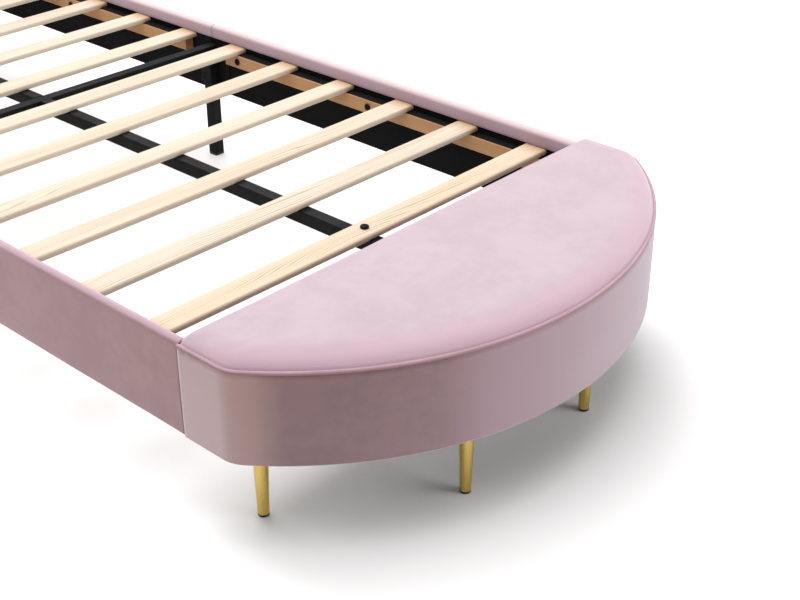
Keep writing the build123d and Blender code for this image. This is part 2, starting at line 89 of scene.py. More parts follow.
# Painted light: lighter colours of the velvet where more light falls on it, on the bench top's rolled edge, on
# the right part and the left corner of its side, and on the top of the right-hand rail
ROLLED_EDGE_LIT = (0.46, 0.305, 0.36)
SIDE_RIGHT_LIT = (0.212, 0.116, 0.135)
SIDE_CORNER_LIT = (0.28, 0.158, 0.135)
RAIL_TOP_HIGHLIGHT = (0.52, 0.41, 0.41)

# Painted shade: how far in from the front arc the bench top turns darker and pinker, where it starts to curve
# down
SHADED_RIM_START = 0.070
SHADED_RIM_END = 0.016

# Small fittings, in metres
LEG_FOOT_RADIUS = 0.0089
LEG_WALL = 0.0016
LEG_BORE = 0.0045
LEG_BOSS = 0.012
BOLT_SHANK_REACH = 0.0055
SCREW_INSET = 0.009
PLATE_THICKNESS = 0.0025
STAPLE_SPACING = 0.042
STAPLE_PATH_STEP = 0.01
STAPLE_HALF = 0.0058
STAPLE_WIRE = 0.00045

# Angles in degrees past which an edge stays sharp
CREASE = 38
BAND_CREASE = 50
SLEEVE_CREASE = 60
SCREW_CREASE = 30

# Places read from the frame
BAND_LOW, BAND_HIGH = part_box("bench_side_band")
PAD_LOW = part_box("bench_pad")[0]
WELT_LOW, WELT_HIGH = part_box("bench_piping")
HEAD_PAD_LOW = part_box("headboard_pad")[0]
HEAD_COVER_LOW, HEAD_COVER_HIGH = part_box("headboard_cover")
HEAD_BOARD_LOW, HEAD_BOARD_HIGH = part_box("headboard_board")
SLAT_LOW, SLAT_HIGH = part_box("slat_01")
LAST_SLAT_LOW, LAST_SLAT_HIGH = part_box("slat_12")
SLAT_NODES = [f"slat_{index:02d}" for index in range(1, 13)]
BENCH_HALF = BAND_HIGH.x
BENCH_BACK_Y = BAND_HIGH.y
BENCH_DEPTH = BAND_HIGH.y - BAND_LOW.y
HEAD_HALF, HEAD_TOP, HEAD_FOOT = HEAD_COVER_HIGH.x, HEAD_COVER_HIGH.z, HEAD_COVER_LOW.z
HEAD_FACE, HEAD_BACK = HEAD_BOARD_LOW.y, HEAD_BOARD_HIGH.y
WELT_RADIUS = (WELT_HIGH.z - WELT_LOW.z) / 2
HEAD_SEAM = HEAD_PAD_LOW.z + WELT_RADIUS
WELT_Z = (WELT_HIGH.z + WELT_LOW.z) / 2


def length(name, description, default):
    return FloatProperty(name=name, description=description, default=default, unit="LENGTH")


def angle(name, description, degrees):
    return FloatProperty(name=name, description=description, default=radians(degrees), subtype="ANGLE")


def tint(name, description, *default):
    return FloatVectorProperty(name=name, description=description, default=default, subtype="COLOR")


class BenchSettings(bpy.types.PropertyGroup):
    side_length: length("Side length", "From the bench's back to where its front arc would start", 0.1033)
    corner_radius: length("Corner radius", "Rounding between each side and the front arc", 0.055)
    roll: length("Roll", "Width of the pad's rolled edge", 0.048)
    rise: length("Rise", "Height of the rolled edge above the piping's middle", 0.0180)
    lift: length("Lift", "How much higher the cover sits on the right", 0.0060)
    piping: length("Piping", "Radius of the covered piping", 0.0031)
    swell: length("Swell", "Most that the foam may push the velvet out", 0.0012)
    pressure: FloatProperty(
        name="Foam pressure", description="Pressure under the velvet in the cloth simulation", default=4.0)
    pucker: length("Pucker", "Depth of the small gathers under the piping", 0.00035)


class RailSettings(bpy.types.PropertyGroup):
    top_radius: length("Top rounding", "Radius of the padded top edge", 0.0096)
    plump: length("Plumpness", "How far the outer face stands out half way up", 0.0008)
    end_radius: length("End rounding", "Radius where the velvet turns over a rail's end", 0.0022)


class HeadboardSettings(bpy.types.PropertyGroup):
    roll: length("Roll", "Width of the pad's rolled edge", 0.075)
    rise: length("Rise", "Thickness of the pad beyond the piping", 0.0245)
    swell: length("Swell", "Most that the foam may push the velvet out", 0.006)


class SlatSettings(bpy.types.PropertyGroup):
    edge_radius: length("Edge rounding", "Radius of the slats' long edges", 0.0046)
    bow: length("Bow", "Most that a slat sags half way along", 0.0022)
    seed: IntProperty(name="Seed", description="Chooses the bow and grain of each slat", default=4)


class ColourSettings(bpy.types.PropertyGroup):
    velvet: tint("Velvet", "Velvet of the sides", 0.144, 0.061, 0.0585)
    velvet_deep: tint("Velvet marks", "Brushed marks in the velvet of the sides", 0.113, 0.0445, 0.042)
    # Painted light: the top's velvet is a lighter copy of the sides' velvet, for the light that falls on it from
    # above
    velvet_lit_top: tint("Velvet top", "Velvet with its nap toward the light", 0.385, 0.296, 0.332)
    pine: tint("Pine", "Pale early wood of the slats", 0.525, 0.463, 0.378)
    pine_late: tint("Pine grain", "Darker late wood of the slats", 0.34, 0.235, 0.145)
    gold: tint("Gold", "Plating of the bench legs", 0.70, 0.505, 0.14)
    steel: tint("Black steel", "Powder coat of the steel frame", 0.0032, 0.0032, 0.0036)


class StageSettings(bpy.types.PropertyGroup):
    heading: angle("Heading", "Direction of view, clockwise from +Y", 47.296)
    dip: angle("Dip", "How far the view looks down", 29.346)
    roll: angle("Roll", "Tilt of the picture", -0.112)
    lens: FloatProperty(name="Lens", description="Focal length in millimetres on a 36 mm sensor", default=63.03)
    eye: FloatVectorProperty(
        name="Eye", description="Place of the camera", default=(-1.4936, -2.2135, 1.3111), subtype="XYZ",
        unit="LENGTH")
    floor: tint("Floor", "Colour of the floor", 0.93, 0.93, 0.93)


# Meshes

def new_object(name, mesh):
    obj = bpy.data.objects.new(name, mesh)
    bpy.context.scene.collection.objects.link(obj)
    return obj


def skin(rows, loop=True, wrap=False, caps=True):
    """Points and faces of a grid.

    loop closes each row, wrap joins the last row to the first and caps fill the ends.
    """
    count, width = rows.shape[:2]
    faces = []
    for r in range(count if wrap else count - 1):
        nxt = (r + 1) % count
        for c in range(width if loop else width - 1):
            d = (c + 1) % width
            faces.append((r * width + c, r * width + d, nxt * width + d, nxt * width + c))
    if caps and loop and not wrap:
        faces.append(tuple(range(width)))
        faces.append(tuple(range((count - 1) * width, count * width)))
    return rows.reshape(-1, 3), faces


def mesh_object(name, points, faces, crease=CREASE):
    """Object from points and faces, with doubles merged, faces outwards and sharp edges kept."""
    mesh = bpy.data.meshes.new(name)
    mesh.from_pydata([tuple(p) for p in points], [], faces)
    bm = bmesh.new()
    bm.from_mesh(mesh)
    bmesh.ops.remove_doubles(bm, verts=bm.verts, dist=1e-6)
    bmesh.ops.dissolve_degenerate(bm, edges=bm.edges, dist=1e-7)
    bmesh.ops.recalc_face_normals(bm, faces=bm.faces)
    bm.to_mesh(mesh)
    bm.free()
    smooth(mesh, crease)
    return new_object(name, mesh)


def smooth(mesh, crease=CREASE):
    mesh.polygons.foreach_set("use_smooth", [True] * len(mesh.polygons))
    mesh.set_sharp_from_angle(angle=radians(crease))


def joined(name, objects):
    """One object from several, which are removed."""
    bm = bmesh.new()
    for obj in objects:
        bm.from_mesh(obj.data)
    mesh = bpy.data.meshes.new(name)
    bm.to_mesh(mesh)
    bm.free()
    for obj in objects:
        bpy.data.objects.remove(obj)
    return new_object(name, mesh)


def settle(obj):
    """Turn a live object into a plain mesh at the origin, with its modifiers and place applied."""
    depsgraph = bpy.context.evaluated_depsgraph_get()
    mesh = bpy.data.meshes.new_from_object(obj.evaluated_get(depsgraph))
    mesh.transform(obj.matrix_world)
    name = obj.name
    bpy.data.objects.remove(obj)
    mesh.name = name
    return new_object(name, mesh)


def coat(obj, finish_name):
    obj.data.materials.clear()
    obj.data.materials.append(finish(finish_name))


def dress(obj, finish_name, slot, *nodes):
    """Give a finished piece its material and its place in the frame."""
    coat(obj, finish_name)
    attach(obj, "root")
    if nodes:
        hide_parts(*nodes)
    return obj


def lathe(profile, centre, segments=64):
    """Points and faces of a closed (radius, height) profile turned round an upright axis."""
    turns = np.linspace(0, 2 * pi, segments, endpoint=False)
    rows = [[(centre[0] + r * cos(t), centre[1] + r * sin(t), z) for r, z in profile] for t in turns]
    return skin(np.array(rows), wrap=True, caps=False)


def ripple(points, size, seed):
    """Smooth noise from -1 to 1 at each point, with features of the given size."""
    shift = Vector((seed * 17.3, seed * 5.1, seed * 9.7))
    return np.array([noise.noise(Vector(p) / size + shift) for p in points])


def wander(*place):
    """Smooth noise from -1 to 1 at one place."""
    return noise.noise(Vector(place))


# The half-round outline that the bench and the headboard share

def arc_radius():
    bench = bpy.context.scene.bed_bench
    rise = BENCH_DEPTH - bench.side_length
    return (BENCH_HALF**2 + rise**2) / (2 * rise)


def outline(half, depth, start, step):
    """Points and outward normals of a half-round outline, from the left foot round to the right foot."""
    corner = bpy.context.scene.bed_bench.corner_radius
    radius = arc_radius()
    centre = depth - radius
    corner_x = half - corner
    corner_v = centre + sqrt((radius - corner)**2 - corner_x**2)
    turn = atan2(corner_v - centre, corner_x)
    points, normals = [], []
    for v in np.linspace(start, corner_v, ceil((corner_v - start) / step), endpoint=False):
        points.append((half, v))
        normals.append((1, 0))
    for t in np.linspace(0, turn, ceil(2 * corner * turn / step), endpoint=False):
        points.append((corner_x + corner * cos(t), corner_v + corner * sin(t)))
        normals.append((cos(t), sin(t)))
    for t in np.linspace(turn, pi / 2, ceil(radius * (pi / 2 - turn) / step) + 1):
        points.append((radius * cos(t), centre + radius * sin(t)))
        normals.append((cos(t), sin(t)))
    right, right_normals = np.array(points), np.array(normals, float)
    flip = np.array((-1, 1))
    path = np.vstack([right * flip, right[-2::-1]])
    normals = np.vstack([right_normals * flip, right_normals[-2::-1]])
    return path, normals, corner_v


def drawn_in(half, depth, start, step, inset):
    """Points of a half-round outline, moved inwards."""
    path, normals, _ = outline(half, depth, start, step)
    return path - normals * inset


def piping_height():
    """Height of the middle of the bench's piping, whose underside stays near the frame's."""
    return WELT_LOW.z + PIPING_DROP + bpy.context.scene.bed_bench.piping


def bench_place(x, v, z):
    return np.stack([x, BENCH_BACK_Y - v, np.broadcast_to(z, np.shape(x))], axis=-1)


def headboard_place(x, v, y):
    return np.stack([x, np.broadcast_to(y, np.shape(x)), v], axis=-1)


def run_along(path):
    """Distance of each point from the start of a path."""
    steps = np.linalg.norm(np.diff(path, axis=0), axis=1)
    return np.concatenate([[0], np.cumsum(steps)])


def pad_ring(path, normals, corner_v, inset, base, base_count, rounding=0):
    """Closed ring inside the outline: the path drawn in by inset, closed by a straight base at v = base.

    Each pass of rounding softens the ring's two corners.
    """
    ring = path - normals * inset
    start = path[0, 1]
    on_side = path[:, 1] < corner_v
    ring[on_side, 1] = base + (path[on_side, 1] - start) * (corner_v - base) / (corner_v - start)
    across = np.linspace(ring[-1, 0], ring[0, 0], base_count + 2)[1:-1]
    ring = np.vstack([ring, np.stack([across, np.full(base_count, base)], axis=-1)])
    for _ in range(rounding):
        ring = (np.roll(ring, 1, axis=0) + 2 * ring + np.roll(ring, -1, axis=0)) / 4
    return ring


def crowned_pad(name, half, depth, start, heights, place, shape):
    """Pad whose face rolls up from its edge: rings follow the outline, then close on a line in the middle.

    heights is (underside, shoulder, direction). shape is (piping's radius, roll's width, its rise, its fullness,
    share of the width at the straight side). The vertex group "held" has the sewn-down points, and the underside
    stays open until the pad has been subdivided.
    """
    path, normals, corner_v = outline(half, depth, start, PAD_STEP)
    base_count = len(path) - 2
    under, shoulder, way = heights
    thick, width, rise, fullness, base_share = shape
    seam = thick * SEAM_SHARE
    wall = [(seam, height) for height in np.linspace(under, shoulder - way * thick / 2, PAD_WALL_ROWS)]
    profile = []
    for turn in np.linspace(0, pi / 2, PAD_ROLL_ROWS):
        inset = seam + width * (1 - abs(cos(turn))**(2 / fullness))
        profile.append((inset, shoulder + way * rise * sin(turn)**(2 / fullness)))
    held_rows = len(wall) + 1
    rows = []
    for inset, z in wall + profile:
        base = seam / 2 + (inset - seam) * base_share
        rounding = 0 if z * way <= shoulder * way else int(inset / PLAN_SMOOTHING)
        ring = pad_ring(path, normals, corner_v, inset, start + base, base_count, rounding)
        rows.append(place(*ring.T, z))
    top = shoulder + way * rise
    x, v = ring.T
    front_x = x[:len(path)]
    to_x = np.concatenate([front_x, front_x[-2:0:-1]]) * PAD_MIDDLE_SHARE
    to_v = (v.min() + v.max()) / 2
    for share in np.linspace(0, 1, PAD_FACE_ROWS)[1:]:
        rows.append(place(x + (to_x - x) * share, v + (to_v - v) * share, top))
    points, faces = skin(np.array(rows), caps=False)
    obj = mesh_object(name, points, faces)
    held = obj.vertex_groups.new(name="held")
    limit = len(rows[0]) * held_rows
    sewn = {tuple(np.round(p, 5)) for p in points[:limit]}
    for vertex in obj.data.vertices:
        if tuple(np.round(vertex.co, 5)) in sewn:
            held.add([vertex.index], 1.0, "REPLACE")
    return obj


def turn_in(distance, radius):
    """How far a rounded edge of the given radius draws in at each distance from its end."""
    return radius * (1 - np.sqrt(1 - np.clip(1 - distance / radius, 0, 1)**2))


def points_of(mesh):
    return np.array([v.co for v in mesh.vertices])


def move_points(mesh, points):
    mesh.vertices.foreach_set("co", points.ravel())
    mesh.update()


def swell(obj, most, pressure):
    """Let foam pressure push the velvet out by cloth simulation, and keep the result in the mesh."""
    rest = points_of(obj.data)
    cloth = obj.modifiers.new("Foam", "CLOTH")
    fabric = {
        "quality": 6, "mass": 0.25, "tension_stiffness": 18, "compression_stiffness": 18,
        "bending_stiffness": 4, "use_pressure": True, "uniform_pressure_force": pressure,
        "vertex_group_mass": "held"}
    for name, value in fabric.items():
        setattr(cloth.settings, name, value)
    cloth.settings.effector_weights.gravity = 0
    cloth.collision_settings.use_collision = False
    scene = bpy.context.scene
    for step in range(1, 21):
        scene.frame_set(step)
    evaluated = obj.evaluated_get(bpy.context.evaluated_depsgraph_get())
    moved = points_of(evaluated.data) - rest
    obj.modifiers.remove(cloth)
    scene.frame_set(1)
    distance = np.linalg.norm(moved, axis=1)
    scale = most * np.tanh(distance / most) / np.maximum(distance, 1e-9)
    move_points(obj.data, rest + moved * scale[:, None])


def relax(obj, size, depth, seed):
    """Slight unevenness of stuffed velvet, along the surface normals."""
    points = points_of(obj.data)
    normals = np.array([v.normal for v in obj.data.vertices])
    move_points(obj.data, points + normals * (depth * ripple(points, size, seed))[:, None])


def lifted(obj, low):
    """The cover isn't dead level: above the height low it sits a little higher on the right."""
    points = points_of(obj.data)
    across = np.clip((points[:, 0] - LIFT_START) / LIFT_RUN, 0, 1)
    share = np.clip((points[:, 2] - low) / (WELT_Z - low), 0, 1)
    points[:, 2] += bpy.context.scene.bed_bench.lift * across**2 * (3 - 2 * across) * share
    move_points(obj.data, points)
    return obj


def subdivided(obj):
    """Even out the free part and subdivide once, applied, then close the open underside."""
    even = obj.modifiers.new("Even", "SMOOTH")
    even.factor, even.iterations = 0.5, 6
    even.vertex_group, even.invert_vertex_group = "held", True
    modifier = obj.modifiers.new("Round", "SUBSURF")
    modifier.levels = modifier.render_levels = 1
    finished = settle(obj)
    bm = bmesh.new()
    bm.from_mesh(finished.data)
    bmesh.ops.holes_fill(bm, edges=[edge for edge in bm.edges if edge.is_boundary])
    bmesh.ops.recalc_face_normals(bm, faces=bm.faces)
    bm.to_mesh(finished.data)
    bm.free()
    smooth(finished.data)
    return finished


def band(name, half, depth, start, profile, place, step, end_radius, pucker):
    """Velvet band round a half-round edge, from a closed (inset, height) profile.

    The profile's first point is beside the piping. The band's ends are rounded over its edge.
    """
    path, normals, _ = outline(half, depth, start, step)
    along = run_along(path)
    end = np.minimum(along, along[-1] - along)
    drawn = turn_in(end, end_radius)
    insets, heights = np.array(profile).T
    deepest = insets.max()
    rows = []
    gap = abs(heights - heights[0])
    outer = (insets < deepest * 0.6) & (gap > 0.0015)
    outward = place(*normals.T, 0.0) - place(np.zeros(1), np.zeros(1), 0.0)
    for i, point in enumerate(path):
        inset = insets + drawn[i] * (1 - insets / deepest)
        ring = point - normals[i] * inset[:, None]
        rows.append(place(*ring.T, heights))
        gather = wander(along[i] / 0.011, 0.5, 0) * np.exp(-gap / 0.009) * pucker
        broad = [0.0006 * wander(along[i] / 0.16, g / 0.07, 3.0) for g in gap]
        dimple = -0.0011 * np.exp(-((end[i] - 0.016) / 0.005)**2) * np.exp(-(gap - 0.005)**2 / 0.000018)
        rows[i] += outward[i] * ((gather + np.array(broad) + dimple) * outer)[:, None]
    return mesh_object(name, *skin(np.array(rows)), BAND_CREASE)


# Geometry Nodes

class Graph:
    """Adds and joins the nodes of one tree in few words."""

    def __init__(self, tree):
        self.tree = tree

    def add(self, kind, inputs=None, **settings):
        node = self.tree.nodes.new(kind)
        for name, value in settings.items():
            setattr(node, name, value)
        for socket, value in (inputs or {}).items():
            self.put(node.inputs[socket], value)
        return node

    def first(self, kind, inputs=None, **settings):
        """First output of a new node."""
        return self.add(kind, inputs, **settings).outputs[0]

    def put(self, socket, value):
        if isinstance(value, bpy.types.NodeSocket):
            self.tree.links.new(value, socket)
        else:
            socket.default_value = value

    def math(self, operation, a, b=0.0):
        return self.first("ShaderNodeMath", {0: a, 1: b}, operation=operation)

    def times(self, a, b):
        return self.math("MULTIPLY", a, b)

    def plus(self, a, b):
        return self.math("ADD", a, b)

    def vector(self, operation, a, b=(0, 0, 0)):
        return self.first("ShaderNodeVectorMath", {0: a, 1: b}, operation=operation)

    def scaled(self, vector, scale):
        return self.first("ShaderNodeVectorMath", {0: vector, "Scale": scale}, operation="SCALE")

    def noise(self, vector, scale, detail=2.0, roughness=0.5, distortion=0.0):
        inputs = {
            "Vector": vector, "Scale": scale, "Detail": detail, "Roughness": roughness,
            "Distortion": distortion}
        return self.first("ShaderNodeTexNoise", inputs)

    def span(self, value, low, high, to_low=0.0, to_high=1.0):
        inputs = {"Value": value, "From Min": low, "From Max": high, "To Min": to_low, "To Max": to_high}
        return self.first("ShaderNodeMapRange", inputs, interpolation_type="SMOOTHSTEP")

    def blend(self, factor, a, b):
        node = self.add("ShaderNodeMix", data_type="RGBA")
        for index, value in ((0, factor), (6, a), (7, b)):
            plain = isinstance(value, tuple) and len(value) == 3
            self.put(node.inputs[index], (*value, 1.0) if plain else value)
        return node.outputs[2]

    def combine(self, x, y, z):
        return self.first("ShaderNodeCombineXYZ", {0: x, 1: y, 2: z})

    def split(self, vector):
        return self.add("ShaderNodeSeparateXYZ", {0: vector}).outputs


def geometry_tree(name, **sockets):
    """Geometry tree with named inputs besides its geometry and material; returns its graph and its inputs."""
    tree = bpy.data.node_groups.new(name, "GeometryNodeTree")
    for socket, kind in {"Geometry": "Geometry", **sockets, "Material": "Material"}.items():
        tree.interface.new_socket(socket, in_out="INPUT", socket_type=f"NodeSocket{kind}")
    tree.interface.new_socket("Geometry", in_out="OUTPUT", socket_type="NodeSocketGeometry")
    graph = Graph(tree)
    return graph, graph.add("NodeGroupInput").outputs


def end_tree(graph, geometry, given):
    """Realize the instances, set the material and send the result out; returns the tree."""
    real = graph.first("GeometryNodeRealizeInstances", {0: geometry})
    inputs = {"Geometry": real, "Material": given["Material"]}
    graph.add("NodeGroupOutput", {0: graph.first("GeometryNodeSetMaterial", inputs)})
    return graph.tree


def grown(obj, tree, finish_name, values):
    """Run a geometry tree on an object with the given inputs and return the plain mesh object."""
    modifier = obj.modifiers.new(tree.name, "NODES")
    modifier.node_group = tree
    sockets = {s.name: s.identifier for s in tree.interface.items_tree if s.in_out == "INPUT"}
    for name, value in {**values, "Material": finish(finish_name)}.items():
        modifier[sockets[name]] = value
    finished = settle(obj)
    smooth(finished.data)
    return finished


def path_object(name, points):
    """Open chain of edges for a tree to follow."""
    mesh = bpy.data.meshes.new(name)
    mesh.from_pydata([tuple(p) for p in points], [(i, i + 1) for i in range(len(points) - 1)], [])
    return new_object(name, mesh)


def piping_tree():
    """Covered cord along a path, with small folds in its velvet."""
    graph, given = geometry_tree("velvet_piping", Radius="Float", Spacing="Float", Fold="Float")
    curve = graph.first("GeometryNodeMeshToCurve", {0: given["Geometry"]})
    inputs = {"Curve": curve, "Length": given["Spacing"]}
    curve = graph.first("GeometryNodeResampleCurve", inputs, mode="LENGTH")
    circle = graph.first("GeometryNodeCurvePrimitiveCircle", {"Resolution": 14, "Radius": given["Radius"]})
    inputs = {"Curve": curve, "Profile Curve": circle, "Fill Caps": True}
    cord = graph.first("GeometryNodeCurveToMesh", inputs)
    folds = graph.noise(graph.first("GeometryNodeInputPosition"), 160.0, 2.0)
    folds = graph.times(graph.math("SUBTRACT", folds, 0.5), given["Fold"])
    offset = graph.scaled(graph.first("GeometryNodeInputNormal"), folds)
    cord = graph.first("GeometryNodeSetPosition", {"Geometry": cord, "Offset": offset})
    return end_tree(graph, cord, given)


def spun(graph, facing, turn):
    """Rotation with a further turn about its own z axis."""
    spin = graph.first("FunctionNodeAxisAngleToRotation", {"Axis": (0, 0, 1), "Angle": turn})
    inputs = {"Rotation": facing, "Rotate By": spin}
    return graph.first("FunctionNodeRotateRotation", inputs, rotation_space="LOCAL")


def end_with_copies(graph, points, facing, given):
    """End a tree with copies of its input object on points."""
    shape = graph.add("GeometryNodeObjectInfo", {"Object": given["Object"]}).outputs["Geometry"]
    inputs = {"Points": points, "Instance": shape, "Rotation": facing}
    return end_tree(graph, graph.first("GeometryNodeInstanceOnPoints", inputs), given)


def fastener_tree():
    """Copies of one fastener on points, each head facing the point's own axis."""
    graph, given = geometry_tree("fasteners", Object="Object", Turn="Float")
    axis = graph.first("GeometryNodeInputNamedAttribute", {"Name": "axis"}, data_type="FLOAT_VECTOR")
    facing = graph.first("FunctionNodeAlignRotationToVector", {"Vector": axis}, axis="Z")
    turn = graph.times(graph.first("GeometryNodeInputIndex"), given["Turn"])
    return end_with_copies(graph, given["Geometry"], spun(graph, facing, turn), given)


def staple_tree():
    """Staples spaced along a path, lying across it at a slant on a face."""
    graph, given = geometry_tree("staples", Object="Object", Spacing="Float", Face="Vector", Slant="Float")
    curve = graph.first("GeometryNodeMeshToCurve", {0: given["Geometry"]})
    points = graph.add("GeometryNodeCurveToPoints", {"Curve": curve, "Length": given["Spacing"]}, mode="LENGTH")
    facing = graph.first("FunctionNodeAlignRotationToVector", {"Vector": given["Face"]}, axis="Z")
    inputs = {"Rotation": facing, "Vector": points.outputs["Tangent"]}
    facing = graph.first("FunctionNodeAlignRotationToVector", inputs, axis="X", pivot_axis="Z")
    scatter = graph.add("FunctionNodeRandomValue", {2: -1.0, 3: 1.0, "Seed": 7}, data_type="FLOAT").outputs[1]
    facing = spun(graph, facing, graph.times(scatter, given["Slant"]))
    return end_with_copies(graph, points.outputs[0], facing, given)


def slat_tree():
    """Row of planed slats with rounded edges, each with its own bow and grain number."""
    graph, given = geometry_tree(
        "slat_row", Count="Int", First="Vector", Pitch="Float", Length="Float", Width="Float",
        Thickness="Float", Edge="Float", Bow="Float", Seed="Int")
    half = graph.times(given["Length"], 0.5)
    inputs = {"Start": graph.combine(graph.times(half, -1.0), 0.0, 0.0), "End": graph.combine(half, 0.0, 0.0)}
    line = graph.first("GeometryNodeCurvePrimitiveLine", inputs)
    line = graph.first("GeometryNodeResampleCurve", {"Curve": line, "Count": 41}, mode="COUNT")
    shape = graph.first("GeometryNodeCurvePrimitiveQuadrilateral", {0: given["Width"], 1: given["Thickness"]})
    inputs = {"Curve": shape, "Count": 5, "Radius": given["Edge"]}
    shape = graph.first("GeometryNodeFilletCurve", inputs, mode="POLY")
    inputs = {"Curve": line, "Profile Curve": shape, "Fill Caps": True}
    slat = graph.first("GeometryNodeCurveToMesh", inputs)
    offset = graph.combine(0.0, given["Pitch"], 0.0)
    inputs = {"Count": given["Count"], "Start Location": given["First"], "Offset": offset}
    row = graph.first("GeometryNodeMeshLine", inputs, mode="OFFSET")
    copies = graph.first("GeometryNodeInstanceOnPoints", {"Points": row, "Instance": slat})
    grain = graph.add("FunctionNodeRandomValue", {2: 0.0, 3: 1.0, "Seed": given["Seed"]}, data_type="FLOAT")
    inputs = {"Geometry": copies, "Name": "board", "Value": grain.outputs[1]}
    copies = graph.first("GeometryNodeStoreNamedAttribute", inputs, data_type="FLOAT", domain="INSTANCE")
    boards = graph.first("GeometryNodeRealizeInstances", {0: copies})
    along = graph.split(graph.first("GeometryNodeInputPosition"))[0]
    share = graph.math("DIVIDE", along, half)
    sag = graph.math("SUBTRACT", graph.times(share, share), 1.0)
    board = graph.first("GeometryNodeInputNamedAttribute", {"Name": "board"}, data_type="FLOAT")
    sag = graph.times(graph.times(sag, board), given["Bow"])
    inputs = {"Geometry": boards, "Offset": graph.combine(0.0, 0.0, sag)}
    return end_tree(graph, graph.first("GeometryNodeSetPosition", inputs), given)


# Shader groups

def shader_group(name, sockets):
    """Empty shader group; sockets gives each input's kind, or the default of a number.

    Returns the group's graph and its input sockets by name.
    """
    tree = bpy.data.node_groups.new(name, "ShaderNodeTree")
    for socket, value in sockets.items():
        kind = value if isinstance(value, str) else "Float"
        item = tree.interface.new_socket(socket, in_out="INPUT", socket_type=f"NodeSocket{kind}")
        if kind == "Float":
            item.default_value = value
    graph = Graph(tree)
    return graph, graph.add("NodeGroupInput").outputs


def end_group(graph, **results):
    """Send the results out of a shader group and return the group."""
    for name, socket in results.items():
        kind = "Color" if socket.type == "RGBA" else "Float"
        graph.tree.interface.new_socket(name, in_out="OUTPUT", socket_type=f"NodeSocket{kind}")
    graph.add("NodeGroupOutput", results)
    return graph.tree


def pile_group():
    """Velvet pile: broad nap marks, finer clouds and the fleck of the fibres."""
    graph, given = shader_group("velvet_pile", {"Vector": "Vector", "Nap": 9.0, "Fleck": 1500.0})
    nap = graph.noise(given["Vector"], given["Nap"], 3.0, 0.55, 0.7)
    clouds = graph.noise(given["Vector"], graph.times(given["Nap"], 6.0), 3.0, 0.6, 0.3)
    fleck = graph.noise(given["Vector"], given["Fleck"], 1.0)
    marks = graph.span(graph.plus(graph.times(nap, 0.62), graph.times(clouds, 0.38)), 0.36, 0.64)
    return end_group(
        graph, Nap=graph.plus(marks, graph.times(fleck, 0.12)),
        Height=graph.plus(fleck, graph.times(clouds, 0.8)))


def grain_group():
    """Growth rings, fibres and a few knots of sawn softwood, with the grain along x."""
    kinds = {"Vector": "Vector", "Board": 0.0, "Early": "Color", "Late": "Color", "Knot": "Color"}
    graph, given = shader_group("softwood_grain", kinds)
    shift = graph.scaled(graph.combine(3.7, 1.9, 2.3), given["Board"])
    place = graph.vector("ADD", given["Vector"], shift)
    knots = graph.add("ShaderNodeTexVoronoi", {"Vector": place, "Scale": 3.6, "Randomness": 0.9})
    rare = graph.math("GREATER_THAN", graph.split(knots.outputs["Color"])[0], 0.62)
    heart, swirl = (
        graph.times(graph.span(knots.outputs["Distance"], edge, core), rare)
        for edge, core in ((0.026, 0.014), (0.16, 0.0)))
    drift, fibres, streaks = (
        graph.noise(graph.vector("MULTIPLY", place, (along, across, across)), 1.0, detail, roughness)
        for along, across, detail, roughness in (
            (1.1, 9.0, 3.0, 0.5), (14.0, 900.0, 2.0, 0.6), (2.0, 60.0, 2.0, 0.5)))
    x, y, z = graph.split(place)
    depth = graph.plus(graph.times(z, 2.2), y)
    for part, share in ((drift, 0.11), (swirl, 0.012)):
        depth = graph.plus(depth, graph.times(part, share))
    rings = graph.span(graph.math("SINE", graph.times(depth, 1150.0)), 0.1, 1.0)
    late = graph.times(rings, graph.span(streaks, 0.35, 0.72, 0.05, 1.0))
    late = graph.plus(late, graph.times(graph.math("SUBTRACT", fibres, 0.5), 0.22))
    colour = graph.blend(heart, graph.blend(late, given["Early"], given["Late"]), given["Knot"])
    return end_group(
        graph, Colour=colour, Height=graph.plus(fibres, graph.times(late, 0.5)),
        Roughness=graph.span(late, 0.0, 1.0, 0.62, 0.48))


def weave_group():
    """Two sets of crossing threads."""
    graph, given = shader_group("weave", {"Vector": "Vector", "Threads": 2600.0})
    x, y, z = graph.split(given["Vector"])
    across = graph.math("SINE", graph.times(graph.plus(x, z), given["Threads"]))
    along = graph.math("SINE", graph.times(graph.math("SUBTRACT", y, z), given["Threads"]))
    return end_group(
        graph, Height=graph.times(across, along), Fuzz=graph.noise(given["Vector"], 260.0, 3.0, 0.6))


def grit_group():
    """Fine orange peel of a coated or moulded surface, with faint smears."""
    graph, given = shader_group("grit", {"Vector": "Vector", "Grain": 900.0})
    return end_group(
        graph, Height=graph.noise(given["Vector"], given["Grain"], 2.0, 0.6),
        Smear=graph.noise(given["Vector"], 22.0, 4.0, 0.6))


# Materials

def shared(graph, name, maker, vector, **inputs):
    """Outputs of a shared shader group at the given places; the group is made when it is first asked for."""
    tree = bpy.data.node_groups.get(name) or maker()
    return graph.add("ShaderNodeGroup", {"Vector": vector, **inputs}, node_tree=tree).outputs


def surface(name, constants):
    """New material with plain values set on its shader; returns it, its graph and its texture coordinates."""
    material = bpy.data.materials.new(name)
    material.use_nodes = True
    graph = Graph(material.node_tree)
    shader = material.node_tree.nodes["Principled BSDF"]
    for socket, value in constants.items():
        shader.inputs[socket].default_value = value
    return material, graph, graph.add("ShaderNodeTexCoord").outputs


def fed(material, graph, colour, roughness, height=None, strength=0.0, distance=0.0):
    """The material, with a colour, a roughness and the bump of a height on its shader."""
    values = {"Base Color": colour, "Roughness": roughness}
    if height is not None:
        inputs = {"Height": height, "Strength": strength, "Distance": distance}
        values["Normal"] = graph.first("ShaderNodeBump", inputs)
    for socket, value in values.items():
        graph.put(material.node_tree.nodes["Principled BSDF"].inputs[socket], value)
    return material


def shaded(colour, *shares):
    """Colour with its red, green and blue multiplied by the shares, or all by the only one."""
    return tuple(c * s for c, s in zip(colour, shares * 3 if len(shares) == 1 else shares))


